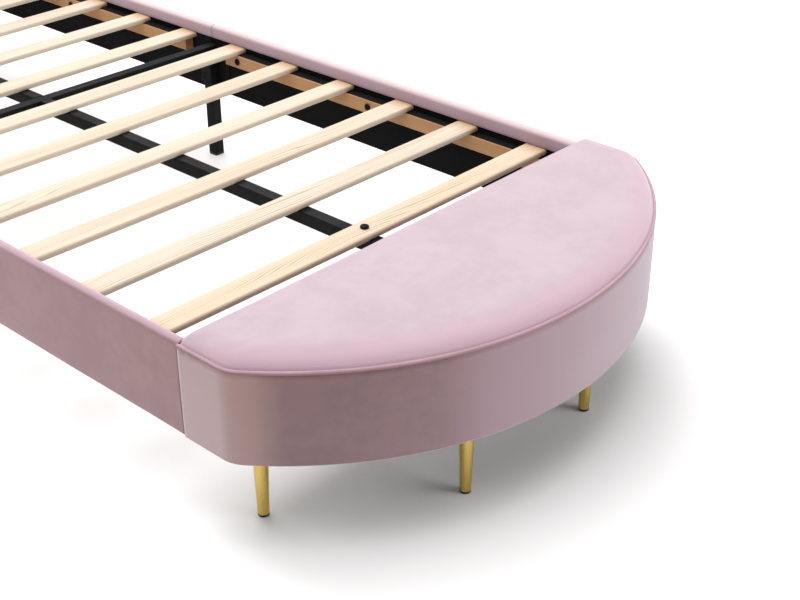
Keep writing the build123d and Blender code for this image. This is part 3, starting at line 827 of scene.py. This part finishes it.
def velvet(name, light, deep, recolour, sheen=1.0, sheen_tint=(1.0, 0.92, 1.0), shift=(0, 0, 0)):
    """Short-pile velvet with brushed marks.

    recolour(graph, texture coordinates, colour) returns the colour changed by place and facing, where light and
    shade are painted.
    """
    material, graph, coordinates = surface(name, {
        "Sheen Weight": sheen, "Sheen Roughness": 0.62, "Sheen Tint": (*sheen_tint, 1.0),
        "Specular IOR Level": 0.12})
    pile = shared(graph, "velvet_pile", pile_group, graph.vector("ADD", coordinates["Object"], shift))
    colour = recolour(graph, coordinates, graph.blend(pile["Nap"], tuple(deep), tuple(light)))
    roughness = graph.span(pile["Nap"], 0.0, 1.0, 0.96, 0.84)
    return fed(material, graph, colour, roughness, pile["Height"], 0.35, 0.0006)


def facing_light_mask(graph, coordinates, low, high):
    """Mask from 0 to 1 as the upward part of the surface's normal goes from low to high; the velvets use it to
    paint light and shade by which way the surface faces.
    """
    return graph.span(graph.split(coordinates["Normal"])[2], low, high)


def top_velvet():
    """Velvet of the bench top, a copy of the sides' velvet painted lighter for the light from above, with
    painted shade darker and pinker along its rim and painted light lighter and pinker where its rolled edge
    turns down.
    """
    top = bpy.context.scene.bed_colours.velvet_lit_top
    radius = arc_radius()

    def recolour(graph, coordinates, colour):
        centre = (0, BENCH_DEPTH - radius - BENCH_BACK_Y, 0)
        flat = graph.vector("MULTIPLY", graph.vector("ADD", coordinates["Object"], centre), (1, 1, 0))
        from_centre = graph.add("ShaderNodeVectorMath", {0: flat}, operation="LENGTH").outputs["Value"]
        # Painted shade: darker and pinker along the rim, where the top starts to curve down
        rim = graph.span(from_centre, radius - SHADED_RIM_START, radius - SHADED_RIM_END)
        colour = graph.blend(rim, colour, shaded(top, 0.97, 0.855, 0.90))
        # Painted light: lighter and pinker where the rolled edge turns down
        return graph.blend(facing_light_mask(graph, coordinates, 0.95, 0.42), colour, ROLLED_EDGE_LIT)

    return velvet("top_velvet", top, shaded(top, 0.9), recolour, 0.55)


def side_velvet():
    """Velvet of the bench's side, with painted light: lighter on the right part of the front and at the left
    corner and side, so the left part of the front stays darker.
    """
    colours = bpy.context.scene.bed_colours

    def recolour(graph, coordinates, colour):
        across = graph.split(coordinates["Object"])[0]
        # Painted light on the right part of the front and on the left corner and side
        right = graph.times(graph.span(across, -0.27, -0.17), graph.span(across, 0.30, 0.0))
        colour = graph.blend(right, colour, SIDE_RIGHT_LIT)
        return graph.blend(graph.span(across, -0.425, -0.475), colour, SIDE_CORNER_LIT)

    return velvet("side_velvet", colours.velvet, colours.velvet_deep, recolour)


def piping_velvet():
    """Velvet of the piping, with painted light and shade: lighter on top, from the bench top's lit colour, and
    darker underneath.
    """
    colours = bpy.context.scene.bed_colours
    light = shaded(colours.velvet_lit_top, 0.98, 0.84, 0.88)

    def recolour(graph, coordinates, colour):
        # Painted shade: darker where the piping faces down
        return graph.blend(facing_light_mask(graph, coordinates, 0.75, -0.35), colour, shaded(colours.velvet, 1.9))

    return velvet("piping_velvet", light, shaded(light, 0.9), recolour, 0.3, shift=(7.0, 3.0, 5.0))


def rail_velvet():
    """Velvet of the rails and the headboard: lighter on the inner and top faces of the rails, with a painted
    highlight on upward faces at the far right, where the right-hand rail's top is.
    """
    colours = bpy.context.scene.bed_colours
    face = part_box("rail_cover_right_foot")[1].x

    def recolour(graph, coordinates, colour):
        across = graph.split(coordinates["Object"])[0]
        inner = graph.span(graph.math("ABSOLUTE", across), face - 0.001, face - 0.005)
        colour = graph.blend(inner, colour, shaded(colours.velvet_lit_top, 0.82, 0.70, 0.74))
        # Painted highlight on upward faces of the right-hand rail
        bright = graph.times(facing_light_mask(graph, coordinates, -0.1, 0.8), graph.span(across, 0.44, 0.455))
        return graph.blend(bright, colour, RAIL_TOP_HIGHLIGHT)

    light, deep = shaded(colours.velvet, 1.427), shaded(colours.velvet_deep, 1.427)
    return velvet("rail_velvet", light, deep, recolour, 0.75, (1.0, 0.86, 0.92), (4.0, 1.0, 2.0))


def pine(name, along, early, late):
    """Planed pine with its grain along one axis; end grain is darker. Along x, painted shade of the rails makes
    the last 5 cm at the slats' ends darker and more orange.
    """
    material, graph, coordinates = surface(name, {"Specular IOR Level": 0.3})
    lengthwise = along == "x"
    x, y, z = graph.split(coordinates["Object"])
    board = graph.add("ShaderNodeAttribute", attribute_name="board", attribute_type="GEOMETRY").outputs["Fac"]
    tone = graph.add("ShaderNodeTexWhiteNoise", {"W": board}, noise_dimensions="1D").outputs["Value"]
    first = graph.span(y, SLAT_HIGH.y + 0.09, SLAT_HIGH.y + 0.05)
    tone = graph.math("MAXIMUM", graph.times(tone, 0.45), first)
    grain = shared(
        graph, "softwood_grain", grain_group, coordinates["Object"] if lengthwise else graph.combine(y, x, z),
        Board=board, Early=graph.blend(tone, early, shaded(early, 1.05, 0.97, 0.88)), Late=(*late, 1.0),
        Knot=(0.30, 0.14, 0.055, 1.0))
    colour = grain["Colour"]
    if lengthwise:
        # Painted shade of the rails: darker and more orange over the last 5 cm at each end
        painted_end_shade = graph.span(graph.math("ABSOLUTE", x), SLAT_HIGH.x - 0.05, SLAT_HIGH.x, 0.0, 0.9)
        colour = graph.blend(painted_end_shade, colour, shaded(early, 0.80, 0.60, 0.42))
    facing = graph.split(coordinates["Normal"])[0 if lengthwise else 1]
    end = graph.span(graph.math("ABSOLUTE", facing), 0.7, 0.95)
    middle = tuple((a + b) / 2 for a, b in zip(early, late))
    colour = graph.blend(end, colour, shaded(middle, 0.95, 0.88, 0.78))
    return fed(material, graph, colour, grain["Roughness"], grain["Height"], 0.25, 0.0003)


def lining_cloth():
    """Thin black lining cloth."""
    material, graph, coordinates = surface("lining_cloth", {"Specular IOR Level": 0.08})
    weave = shared(graph, "weave", weave_group, coordinates["Object"])
    colour = graph.blend(weave["Fuzz"], (0.0035, 0.0035, 0.004), (0.009, 0.009, 0.0095))
    roughness = graph.span(weave["Fuzz"], 0.3, 0.7, 0.8, 0.95)
    return fed(material, graph, colour, roughness, weave["Height"], 0.4, 0.0003)


def coated(name, colour, roughness, strength, constants):
    """Powder-coated steel, moulded plastic or bright wire; roughness is its least and most."""
    material, graph, coordinates = surface(name, constants)
    grit = shared(graph, "grit", grit_group, coordinates["Object"])
    colour = graph.blend(grit["Smear"], tuple(colour), shaded(colour, 1.7))
    roughness = graph.span(grit["Smear"], 0.3, 0.7, *roughness)
    return fed(material, graph, colour, roughness, grit["Height"], strength, 0.0002)


def gold_plate():
    """Satin gold plating, drawn lengthwise."""
    colour = tuple(bpy.context.scene.bed_colours.gold)
    material, graph, coordinates = surface("gold_plating", {"Metallic": 1.0})
    grit = shared(graph, "grit", grit_group, coordinates["Object"])
    drawn = graph.noise(graph.vector("MULTIPLY", coordinates["Object"], (700.0, 700.0, 9.0)), 1.0, 2.0)
    colour = graph.blend(grit["Smear"], colour, shaded(colour, 0.82))
    return fed(material, graph, colour, graph.span(drawn, 0.3, 0.7, 0.22, 0.34), drawn, 0.1, 0.0002)


def slat_pine():
    colours = bpy.context.scene.bed_colours
    return pine("planed_pine", "x", tuple(colours.pine), tuple(colours.pine_late))


def black_coat():
    steel = bpy.context.scene.bed_colours.steel
    return coated("coated_steel", steel, (0.5, 0.65), 0.18, {"Specular IOR Level": 0.1})


MAKERS = {
    "top_velvet": top_velvet,
    "piping_velvet": piping_velvet,
    "side_velvet": side_velvet,
    "rail_velvet": rail_velvet,
    "planed_pine": slat_pine,
    "sawn_pine": lambda: pine("sawn_pine", "y", (0.43, 0.245, 0.115), (0.29, 0.14, 0.052)),
    "birch_plywood": lambda: pine("birch_plywood", "x", (0.62, 0.45, 0.28), (0.45, 0.29, 0.15)),
    "lining_cloth": lining_cloth,
    "coated_steel": black_coat,
    "moulded_plastic": lambda: coated(
        "moulded_plastic", (0.006, 0.006, 0.006), (0.4, 0.5), 0.1, {"Specular IOR Level": 0.3}),
    "staple_wire": lambda: coated("staple_wire", (0.5, 0.5, 0.52), (0.3, 0.4), 0.05, {"Metallic": 1.0}),
    "gold_plating": gold_plate,
}


def finish(name):
    """Material of the given name, made when it is first asked for."""
    return bpy.data.materials.get(name) or MAKERS[name]()


# Pieces

class BED_OT_bench_pad(bpy.types.Operator):
    """Crowned velvet top of the bench, swollen by its foam"""
    bl_idname = "bed.bench_pad"
    bl_label = "Bench Pad"

    def execute(self, context):
        bench = context.scene.bed_bench
        heights = (PAD_LOW.z, piping_height() + PAD_LEVEL, 1)
        obj = crowned_pad(
            "bench_cushion", BENCH_HALF, BENCH_DEPTH, 0.0, heights, bench_place,
            (bench.piping, bench.roll, bench.rise, BENCH_FULLNESS, BENCH_BACK_SHARE))
        swell(obj, bench.swell, bench.pressure)
        obj = lifted(subdivided(obj), PAD_LOW.z)
        relax(obj, 0.085, 0.0005, 2)
        dress(obj, "top_velvet", "velvet", "bench_pad")
        return {"FINISHED"}


class BED_OT_bench_band(bpy.types.Operator):
    """Velvet band round the side of the bench"""
    bl_idname = "bed.bench_band"
    bl_label = "Bench Side Band"

    def execute(self, context):
        top, bottom = piping_height() - BAND_TUCK, BAND_LOW.z - BAND_HEM
        outer = [(0.0022, top), (0.0017, top - 0.0015), (0.0013, top - 0.003), (0.0008, top - 0.005),
                 (0.0004, top - 0.0075), (0.0002, top - 0.009)]
        outer += [(0.0002 - 0.0008 * sin(pi * share), top - 0.010 + (bottom + 0.012 - top) * share)
                  for share in np.linspace(0, 1, 20)]
        outer += [(0.0002, bottom + 0.0025), (0.0008, bottom + 0.001), (0.0018, bottom + 0.0002),
                  (0.003, bottom)]
        inner = [(BAND_DEPTH, bottom), (BAND_DEPTH, top)]
        obj = band(
            "bench_band", BENCH_HALF, BENCH_DEPTH, 0.0, outer + inner, bench_place, BAND_STEP, BENCH_END_RADIUS,
            context.scene.bed_bench.pucker)
        lifted(obj, bottom)
        dress(obj, "side_velvet", "velvet", "bench_side_band")
        return {"FINISHED"}


class BED_OT_piping(bpy.types.Operator):
    """Covered piping round the bench top and the headboard"""
    bl_idname = "bed.piping"
    bl_label = "Piping"

    def execute(self, context):
        tree, velvet_name = piping_tree(), "piping_velvet"
        thick = context.scene.bed_bench.piping
        values = {"Radius": thick, "Spacing": 0.003, "Fold": 0.0005}
        ring = drawn_in(BENCH_HALF, BENCH_DEPTH, PIPING_START, BAND_STEP, thick - PIPING_PROUD)
        obj = path_object("bench_welt", bench_place(*ring.T, piping_height()))
        obj = lifted(grown(obj, tree, velvet_name, values), PAD_LOW.z)
        dress(obj, velvet_name, "velvet", "bench_piping")
        values["Radius"] = WELT_RADIUS
        ring = drawn_in(HEAD_HALF, HEAD_TOP, HEAD_SEAM, BAND_STEP, WELT_RADIUS)
        across = np.linspace(ring[-1, 0], ring[0, 0], 200)[1:-1]
        foot = np.stack([across, np.full(len(across), HEAD_SEAM)], axis=-1)
        ring = np.vstack([ring, foot, ring[:1]])
        obj = path_object("headboard_welt", headboard_place(*ring.T, HEAD_FACE - WELT_RADIUS))
        dress(grown(obj, tree, velvet_name, values), velvet_name, "velvet")
        return {"FINISHED"}


def sleeve(name, side, low, high, rail):
    """Padded velvet sleeve of one rail half, filling the box from low to high."""
    outer, inner = (high.x, low.x) if side > 0 else (-low.x, -high.x)
    bottom, top = low.z, high.z
    board_inner, pad = inner + SLEEVE_DEPTH, SLEEVE_PAD
    roll_bottom = SLAT_HIGH.z + 0.0005
    r = rail.top_radius
    profile = [(board_inner, bottom + 0.0003), (outer - 0.004, bottom), (outer - 0.0016, bottom + 0.0003),
               (outer - 0.0004, bottom + 0.0012), (outer, bottom + 0.003)]
    profile += [(outer + rail.plump * sin(pi * share), bottom + 0.003 + (top - r - bottom - 0.003) * share)
                for share in np.linspace(0, 1, 16)[1:-1]]
    profile += [(outer - r + r * cos(t), top - r + r * sin(t)) for t in np.linspace(0, pi / 2, 9)]
    profile += [(inner + r + r * cos(t), top - r + r * sin(t)) for t in np.linspace(pi / 2, pi, 9)[1:]]
    profile += [(inner - 0.0002, (top - r + roll_bottom) / 2), (inner, roll_bottom + 0.003),
                (inner + 0.0008, roll_bottom + 0.0008), (inner + 0.0025, roll_bottom)]
    outside = len(profile)
    profile += [(board_inner, roll_bottom), (board_inner, top - 0.004), (outer - pad, top - 0.004),
                (outer - pad, bottom + 0.0015), (board_inner, bottom + 0.0015)]
    profile = np.array(profile)
    core = np.array([(outer + inner) / 2, (top + bottom) / 2])
    start, end = low.y, high.y
    near = np.concatenate(
        [[0, 0.0003, 0.0008, 0.0015, 0.0024, 0.004, 0.007, 0.011], np.arange(0.016, 0.05, 0.006)])
    middle = np.linspace(start + 0.056, end - 0.056, ceil((end - start) / 0.009))
    places = np.concatenate([start + near, middle, (end - near)[::-1]])
    rows = []
    for y in places:
        edge = min(y - start, end - y)
        row = profile.copy()
        toward = core - row[:outside]
        toward[:, 1] = np.where(abs(toward[:, 1]) > (top - bottom) / 2 - r, np.sign(toward[:, 1]), 0)
        across = row[:outside, 0]
        toward[:, 0] = np.where(across > outer - 0.002, -1, np.where(across < inner + 0.002, 1, 0))
        row[:outside] += toward * turn_in(edge, rail.end_radius)
        for k in range(outside):
            x, z = row[k]
            wave = 0.0006 * wander(side * 3.1, y / 0.17, z / 0.06)
            fold = 0.0007 * wander(side * 9.7, y / 0.02 + z / 0.03, z / 0.018) * np.exp(-edge / 0.02)
            row[k] += (wave + fold) * np.array([x > outer - 0.003, z > top - 0.003])
        rows.append([(side * x, y, z) for x, z in row])
    return mesh_object(name, *skin(np.array(rows)), SLEEVE_CREASE)


class BED_OT_rail_sleeves(bpy.types.Operator):
    """Velvet sleeves over the four rail halves"""
    bl_idname = "bed.rail_sleeves"
    bl_label = "Rail Sleeves"

    def execute(self, context):
        for word, side in (("left", -1), ("right", 1)):
            for part in ("foot", "head"):
                node = f"rail_cover_{word}_{part}"
                low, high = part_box(node)
                obj = sleeve(f"rail_sleeve_{word}_{part}", side, low, high, context.scene.bed_rails)
                dress(obj, "rail_velvet", "velvet", node)
        return {"FINISHED"}


class BED_OT_headboard(bpy.types.Operator):
    """Padded velvet headboard: pad, edge band and the plain panel under the pad"""
    bl_idname = "bed.headboard"
    bl_label = "Headboard"

    def execute(self, context):
        head = context.scene.bed_headboard
        pucker = context.scene.bed_bench.pucker
        heights = (HEAD_FACE - 0.0002, HEAD_FACE - WELT_RADIUS * 1.3, -1)
        pad = crowned_pad(
            "headboard_cushion", HEAD_HALF, HEAD_TOP, HEAD_SEAM, heights, headboard_place,
            (WELT_RADIUS, head.roll, head.rise, HEAD_FULLNESS, 1.0))
        swell(pad, head.swell, context.scene.bed_bench.pressure)
        pad = subdivided(pad)
        relax(pad, 0.12, 0.0007, 5)
        dress(pad, "rail_velvet", "velvet", "headboard_pad")
        front, back = HEAD_FACE - 0.0006, HEAD_BACK
        outer = [(0.0032, front + 0.0002), (0.0018, front + 0.0006), (0.0006, front + 0.0018),
                 (0.0001, front + 0.004)]
        outer += [(-0.0002 * sin(pi * share), front + 0.004 + (back - 0.004 - front - 0.004) * share)
                  for share in np.linspace(0, 1, 5)[1:]]
        outer += [(0.0003, back - 0.0016), (0.0012, back - 0.0004), (0.0026, back)]
        inner = [(BAND_DEPTH, back), (BAND_DEPTH, front + 0.0004)]
        edge = band(
            "headboard_band", HEAD_HALF, HEAD_TOP, HEAD_FOOT, outer + inner, headboard_place, HEAD_BAND_STEP,
            HEAD_END_RADIUS, pucker)
        cover = joined("headboard_wrap", [edge, self.apron()])
        dress(cover, "rail_velvet", "velvet", "headboard_cover")
        return {"FINISHED"}

    def apron(self):
        """Flat velvet panel under the pad, with rounded edges."""
        bottom, top, back = HEAD_FOOT, HEAD_SEAM, HEAD_FACE
        near = np.array([0, 0.0002, 0.0008, 0.002, 0.005])
        across = np.concatenate(
            [near, np.linspace(0.02, 2 * HEAD_HALF - 0.02, 96), 2 * HEAD_HALF - near[::-1]]) - HEAD_HALF
        heights = np.concatenate([bottom + near[1:4], np.linspace(bottom + 0.012, top - 0.006, 26),
                                  [top - 0.001, top]])
        rows = []
        for x in across:
            edge = HEAD_HALF - abs(x)
            row = []
            for z in heights:
                fold = 0.0005 * wander(x / 0.13, z / 0.08, 8.0) if edge > 0.01 else 0
                turn = turn_in(edge, APRON_RADIUS) + turn_in(z - bottom, APRON_RADIUS)
                row.append((x, min(HEAD_COVER_LOW.y + turn + fold, back - 0.0005), z))
            rows.append(row + [(x, back, top), (x, back, bottom + near[1])])
        return mesh_object("apron", *skin(np.array(rows)), BAND_CREASE)


class BED_OT_legs(bpy.types.Operator):
    """Tapered gold-coloured legs with black end caps"""
    bl_idname = "bed.legs"
    bl_label = "Bench Legs"

    def execute(self, context):
        caps = []
        radius, hollow = LEG_FOOT_RADIUS, LEG_FOOT_RADIUS - LEG_WALL
        for place in ("left_back", "left_front", "right_front", "right_back"):
            node = f"bench_leg_{place}"
            low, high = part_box(node)
            centre = (low + high) / 2
            top, foot = high.z, low.z
            wide = (high.x - low.x) / 2
            slope = (wide - radius) / (top - foot)
            profile = [(LEG_BORE, top), (wide - 0.0006, top), (wide - 0.0001, top - 0.0006)]
            falls = np.linspace(0.003, top - foot - 0.002, 12)
            profile += [(wide - slope * fall, top - fall) for fall in falls]
            profile += [(radius + 0.0001, foot + 0.0009), (radius - 0.0001, foot + 0.0003),
                        (radius - 0.0005, foot), (hollow, foot), (hollow, foot + 0.004),
                        (LEG_BORE, top - LEG_BOSS)]
            leg = mesh_object(f"gold_leg_{place}", *lathe(profile, centre))
            dress(leg, "gold_plating", "gold_metal", node)
            cap = [(0, 0), (radius - 0.0022, 0), (radius - 0.001, 0.0003), (radius - 0.0003, 0.0010),
                   (radius, 0.002), (radius, foot - 0.0004), (radius - 0.0004, foot), (hollow, foot),
                   (hollow, foot + 0.003), (0, foot + 0.003)]
            caps.append(mesh_object(f"cap_{place}", *lathe(cap, centre)))
        caps = joined("leg_end_caps", caps)
        smooth(caps.data)
        dress(caps, "moulded_plastic", "black_plastic", "leg_caps")
        return {"FINISHED"}


class BED_OT_slats(bpy.types.Operator):
    """Row of pine slats with rounded edges"""
    bl_idname = "bed.slats"
    bl_label = "Slats"

    def execute(self, context):
        slats = context.scene.bed_slats
        size = SLAT_HIGH - SLAT_LOW
        first = (SLAT_LOW + SLAT_HIGH) / 2
        last = (LAST_SLAT_LOW + LAST_SLAT_HIGH) / 2
        count = len(SLAT_NODES)
        values = {
            "Count": count, "First": first, "Pitch": (last.y - first.y) / (count - 1), "Length": size.x,
            "Width": size.y, "Thickness": size.z, "Edge": slats.edge_radius, "Bow": slats.bow,
            "Seed": slats.seed}
        seed_mesh = path_object("slats", [(0, 0, 0), (0, 0, 0.001)])
        dress(grown(seed_mesh, slat_tree(), "planed_pine", values), "planed_pine", "pine", *SLAT_NODES)
        return {"FINISHED"}


def solids_of(node):
    """Points of each separate solid in a CAD node, with the middle of its box."""
    bm = bmesh.new()
    bm.from_mesh(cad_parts[node].data)
    bmesh.ops.remove_doubles(bm, verts=bm.verts, dist=1e-5)
    seen, solids = set(), []
    for vertex in bm.verts:
        if vertex in seen:
            continue
        stack, members = [vertex], []
        seen.add(vertex)
        while stack:
            current = stack.pop()
            members.append(tuple(current.co))
            for edge in current.link_edges:
                other = edge.other_vert(current)
                if other not in seen:
                    seen.add(other)
                    stack.append(other)
        points = np.array(members)
        solids.append((points, (points.max(0) + points.min(0)) / 2))
    bm.free()
    return solids


def bolt_seats(node):
    """Centre under each bolt head of a node and the way that the head faces."""
    places, axes = [], []
    for points, centre in solids_of(node):
        along = int(np.argmax(np.ptp(points, axis=0)))
        spread = [i for i in range(3) if i != along]
        wide = points[np.linalg.norm((points - centre)[:, spread], axis=1) > BOLT_SHANK_REACH]
        way = 1 if wide[:, along].mean() > centre[along] else -1
        seat = centre.copy()
        seat[along] = way * (way * wide[:, along]).min()
        axis = np.zeros(3)
        axis[along] = way
        places.append(seat)
        axes.append(axis)
    return places, axes


def point_object(name, places, axes):
    mesh = bpy.data.meshes.new(name)
    mesh.from_pydata([tuple(p) for p in places], [], [])
    attribute = mesh.attributes.new("axis", "FLOAT_VECTOR", "POINT")
    attribute.data.foreach_set("vector", np.array(axes, np.float32).ravel())
    return new_object(name, mesh)


def dome_head(name, radius, height, shank_radius, shank, recess, recess_depth, segments=36):
    """Domed screw head on its shank, standing on the origin, with a recess given as radius by angle."""
    turns = np.linspace(0, 2 * pi, segments, endpoint=False)
    rim = [radius * s for s in (0.93, 1.0, 1.0, 0.985, 0.93, 0.83, 0.70)]
    rise = [height * s for s in (0.0, 0.08, 0.2, 0.42, 0.66, 0.84, 0.95)]
    rings = [[(shank_radius * cos(t), shank_radius * sin(t), -shank) for t in turns]]
    rings += [[(shank_radius * cos(t), shank_radius * sin(t), 0.0) for t in turns]]
    rings += [[(r * cos(t), r * sin(t), z) for t in turns] for r, z in zip(rim, rise)]
    for grow, z in ((1.08, height), (1.0, height - 0.0002), (0.96, height - recess_depth)):
        rings.append([(grow * recess(t) * cos(t), grow * recess(t) * sin(t), z) for t in turns])
    return mesh_object(name, *skin(np.array(rings)), SCREW_CREASE)


def hexagon(across):
    """Radius of a hexagonal socket at each angle."""
    return lambda turn: across / 2 / cos((turn % (pi / 3)) - pi / 6)


def cross(arm, width):
    """Radius of a cross recess at each angle."""
    return lambda turn: arm if abs((turn + pi / 4) % (pi / 2) - pi / 4) < 0.36 else width


class BED_OT_fasteners(bpy.types.Operator):
    """Dome-head bolts with hexagon sockets, and the screws of the leg plates"""
    bl_idname = "bed.fasteners"
    bl_label = "Bolts and Screws"

    def execute(self, context):
        bolt = dome_head("bolt", 0.0077, 0.0038, 0.003, 0.014, hexagon(0.004), 0.0022)
        screw = dome_head("screw", 0.0042, 0.0021, 0.0018, 0.003, cross(0.0022, 0.0009), 0.0012, 32)
        places = []
        for points, centre in solids_of("leg_plates"):
            half = points.max(0)[0] - centre[0] - SCREW_INSET
            under = points.max(0)[2] - PLATE_THICKNESS
            places += [(centre[0] + half * i, centre[1] + half * j, under) for i in (-1, 1) for j in (-1, 1)]
        tree = fastener_tree()
        for name, seats, shape, turn, nodes in (
                ("cleat_bolts", bolt_seats("dome_bolts"), bolt, 0.7, ["dome_bolts"]),
                ("plate_bolts", bolt_seats("frame_bolts"), bolt, 0.7, ["frame_bolts"]),
                ("leg_plate_screws", (places, [(0, 0, -1)] * len(places)), screw, 0.45, [])):
            obj = grown(point_object(name, *seats), tree, "coated_steel", {"Object": shape, "Turn": turn})
            dress(obj, "coated_steel", "black_steel", *nodes)
        for shape in (bolt, screw):
            bpy.data.objects.remove(shape)
        return {"FINISHED"}


class BED_OT_staples(bpy.types.Operator):
    """Staples that hold the black cloths under the bench and on the headboard's back"""
    bl_idname = "bed.staples"
    bl_label = "Staples"

    def execute(self, context):
        tree = staple_tree()
        staple = self.staple()
        under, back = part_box("bench_dust_cover")[0].z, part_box("headboard_back_cloth")[1].y
        bench = drawn_in(BENCH_HALF, BENCH_DEPTH, 0.012, STAPLE_PATH_STEP, 0.013)
        head = drawn_in(HEAD_HALF, HEAD_TOP, 0.03, STAPLE_PATH_STEP, 0.011)
        for name, points, face in (
                ("dust_cover_staples", bench_place(*bench.T, under), (0, 0, -1)),
                ("headboard_staples", headboard_place(*head.T, back), (0, 1, 0))):
            values = {"Object": staple, "Spacing": STAPLE_SPACING, "Face": face, "Slant": 0.35}
            dress(grown(path_object(name, points), tree, "staple_wire", values), "staple_wire", "black_steel")
        bpy.data.objects.remove(staple)
        return {"FINISHED"}

    def staple(self):
        """Staple lying along x, its crown just proud of the face at z = 0."""
        half = STAPLE_HALF
        route = [(-half, -0.0008), (-half, 0.0001), (-half * 0.86, 0.0004)]
        route += [(-x, z) for x, z in reversed(route)]
        turns = np.linspace(0, 2 * pi, 6, endpoint=False)
        rows = []
        for i, (x, z) in enumerate(route):
            before, after = route[max(i - 1, 0)], route[min(i + 1, len(route) - 1)]
            ahead = Vector((after[0] - before[0], 0, after[1] - before[1])).normalized()
            up = Vector((0, 1, 0))
            out = ahead.cross(up)
            rows.append([tuple(Vector((x, 0, z)) + (up * cos(t) + out * sin(t)) * STAPLE_WIRE) for t in turns])
        return mesh_object("staple", *skin(np.array(rows)))


CAD_FINISHES = {
    "birch_plywood": ("rail_board", "bench_base_board", "bench_top_board", "bench_front_board",
                      "bench_back_board", "headboard_board"),
    "lining_cloth": ("rail_lining", "slat_tapes", "bench_dust_cover", "bench_back_cloth",
                     "headboard_back_cloth"),
    "coated_steel": ("middle_tube", "crossbar", "support_leg", "tube_hangers", "joint_plates",
                     "corner_brackets", "leg_plates"),
    "sawn_pine": ("cleat",),
    "planed_pine": ("bench_posts",),
    "moulded_plastic": ("floor_glides",),
}


class BED_OT_cad_finishes(bpy.types.Operator):
    """Materials of the pieces whose shape comes from the frame as it is"""
    bl_idname = "bed.cad_finishes"
    bl_label = "Frame Finishes"

    def execute(self, context):
        for node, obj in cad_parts.items():
            names = [name for name, starts in CAD_FINISHES.items() if node.startswith(starts)]
            if names:
                coat(obj, names[0])
            elif not obj.hide_render:
                raise RuntimeError(f"{node} has no finish")
        return {"FINISHED"}


FLOOR_REACH = 14.0
SKY_STRENGTH = 0.35
LAMPS = (
    ("overhead_back", (0.8, 1.6, 3.2), (0.0, -0.4, 0.2), (3.6, 3.6), 157, (1.0, 0.985, 0.99)),
    ("overhead_front", (-0.55, -0.6, 3.3), (0.0, -0.4, 0.2), (3.6, 3.6), 115, (1.0, 0.98, 0.975)),
    ("front_right", (1.6, -4.0, 1.4), (0.1, -1.0, 0.2), (2.2, 1.8), 54, (1.0, 0.99, 1.0)),
)


def lamp(name, place, target, size, power, colour):
    light = bpy.data.lights.new(name, "AREA")
    light.shape = "RECTANGLE"
    light.size, light.size_y = size
    light.energy = power
    light.color = colour
    obj = new_object(name, light)
    obj.location = place
    obj.rotation_euler = (Vector(target) - Vector(place)).to_track_quat("-Z", "Y").to_euler()
    return obj


class BED_OT_stage(bpy.types.Operator):
    """Pale floor, soft studio light and the camera"""
    bl_idname = "bed.stage"
    bl_label = "Stage"

    def execute(self, context):
        stage = context.scene.bed_stage
        sides = (-FLOOR_REACH, FLOOR_REACH)
        rows = np.array([[(x, y, 0.0) for x in sides] for y in sides])
        floor = mesh_object("floor", *skin(rows, loop=False))
        material, graph, coordinates = surface("floor", {"Specular IOR Level": 0.2})
        tone = graph.noise(coordinates["Object"], 3.0, 2.0)
        colour = graph.blend(tone, tuple(stage.floor), shaded(stage.floor, 0.985))
        floor.data.materials.append(fed(material, graph, colour, 0.7))
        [lamp(*row) for row in LAMPS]
        world = bpy.data.worlds.new("studio")
        world.use_nodes = True
        background = world.node_tree.nodes["Background"]
        background.inputs[0].default_value = (1.0, 1.0, 1.0, 1.0)
        background.inputs[1].default_value = SKY_STRENGTH
        context.scene.world = world
        context.scene.view_settings.view_transform = "Standard"
        camera = bpy.data.cameras.new("camera")
        camera.lens = stage.lens
        camera.sensor_width = 36.0
        obj = new_object("camera", camera)
        turn = Matrix.Rotation(-stage.heading, 4, "Z") @ Matrix.Rotation(pi / 2 - stage.dip, 4, "X")
        obj.matrix_world = Matrix.Translation(stage.eye) @ turn @ Matrix.Rotation(stage.roll, 4, "Z")
        context.scene.camera = obj
        return {"FINISHED"}


class BED_PT_panel(bpy.types.Panel):
    """Sizes, colours and steps of the bed"""
    bl_label = "Bed"
    bl_idname = "BED_PT_panel"
    bl_space_type = "VIEW_3D"
    bl_region_type = "UI"
    bl_category = "Bed"

    def draw(self, context):
        for name, kind in SETTINGS.items():
            box = self.layout.box()
            box.label(text=name.removeprefix("bed_").title())
            for value in kind.__annotations__:
                box.prop(getattr(context.scene, name), value)
        for step in STEPS:
            self.layout.operator(step.bl_idname)


SETTINGS = {
    "bed_bench": BenchSettings, "bed_rails": RailSettings, "bed_headboard": HeadboardSettings,
    "bed_slats": SlatSettings, "bed_colours": ColourSettings, "bed_stage": StageSettings,
}
STEPS = (
    BED_OT_stage, BED_OT_bench_pad, BED_OT_bench_band, BED_OT_piping, BED_OT_rail_sleeves, BED_OT_headboard,
    BED_OT_legs, BED_OT_slats, BED_OT_fasteners, BED_OT_staples, BED_OT_cad_finishes,
)


def register():
    for kind in (*SETTINGS.values(), *STEPS, BED_PT_panel):
        bpy.utils.register_class(kind)
    for name, kind in SETTINGS.items():
        setattr(bpy.types.Scene, name, PointerProperty(type=kind))


def unregister():
    for name in SETTINGS:
        delattr(bpy.types.Scene, name)
    for kind in (BED_PT_panel, *reversed(STEPS), *SETTINGS.values()):
        bpy.utils.unregister_class(kind)


def main():
    """Register the add-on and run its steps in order."""
    register()
    for step in STEPS:
        area, name = step.bl_idname.split(".")
        getattr(getattr(bpy.ops, area), name)()
    bpy.context.view_layer.update()


if __name__ == "__main__":
    main()
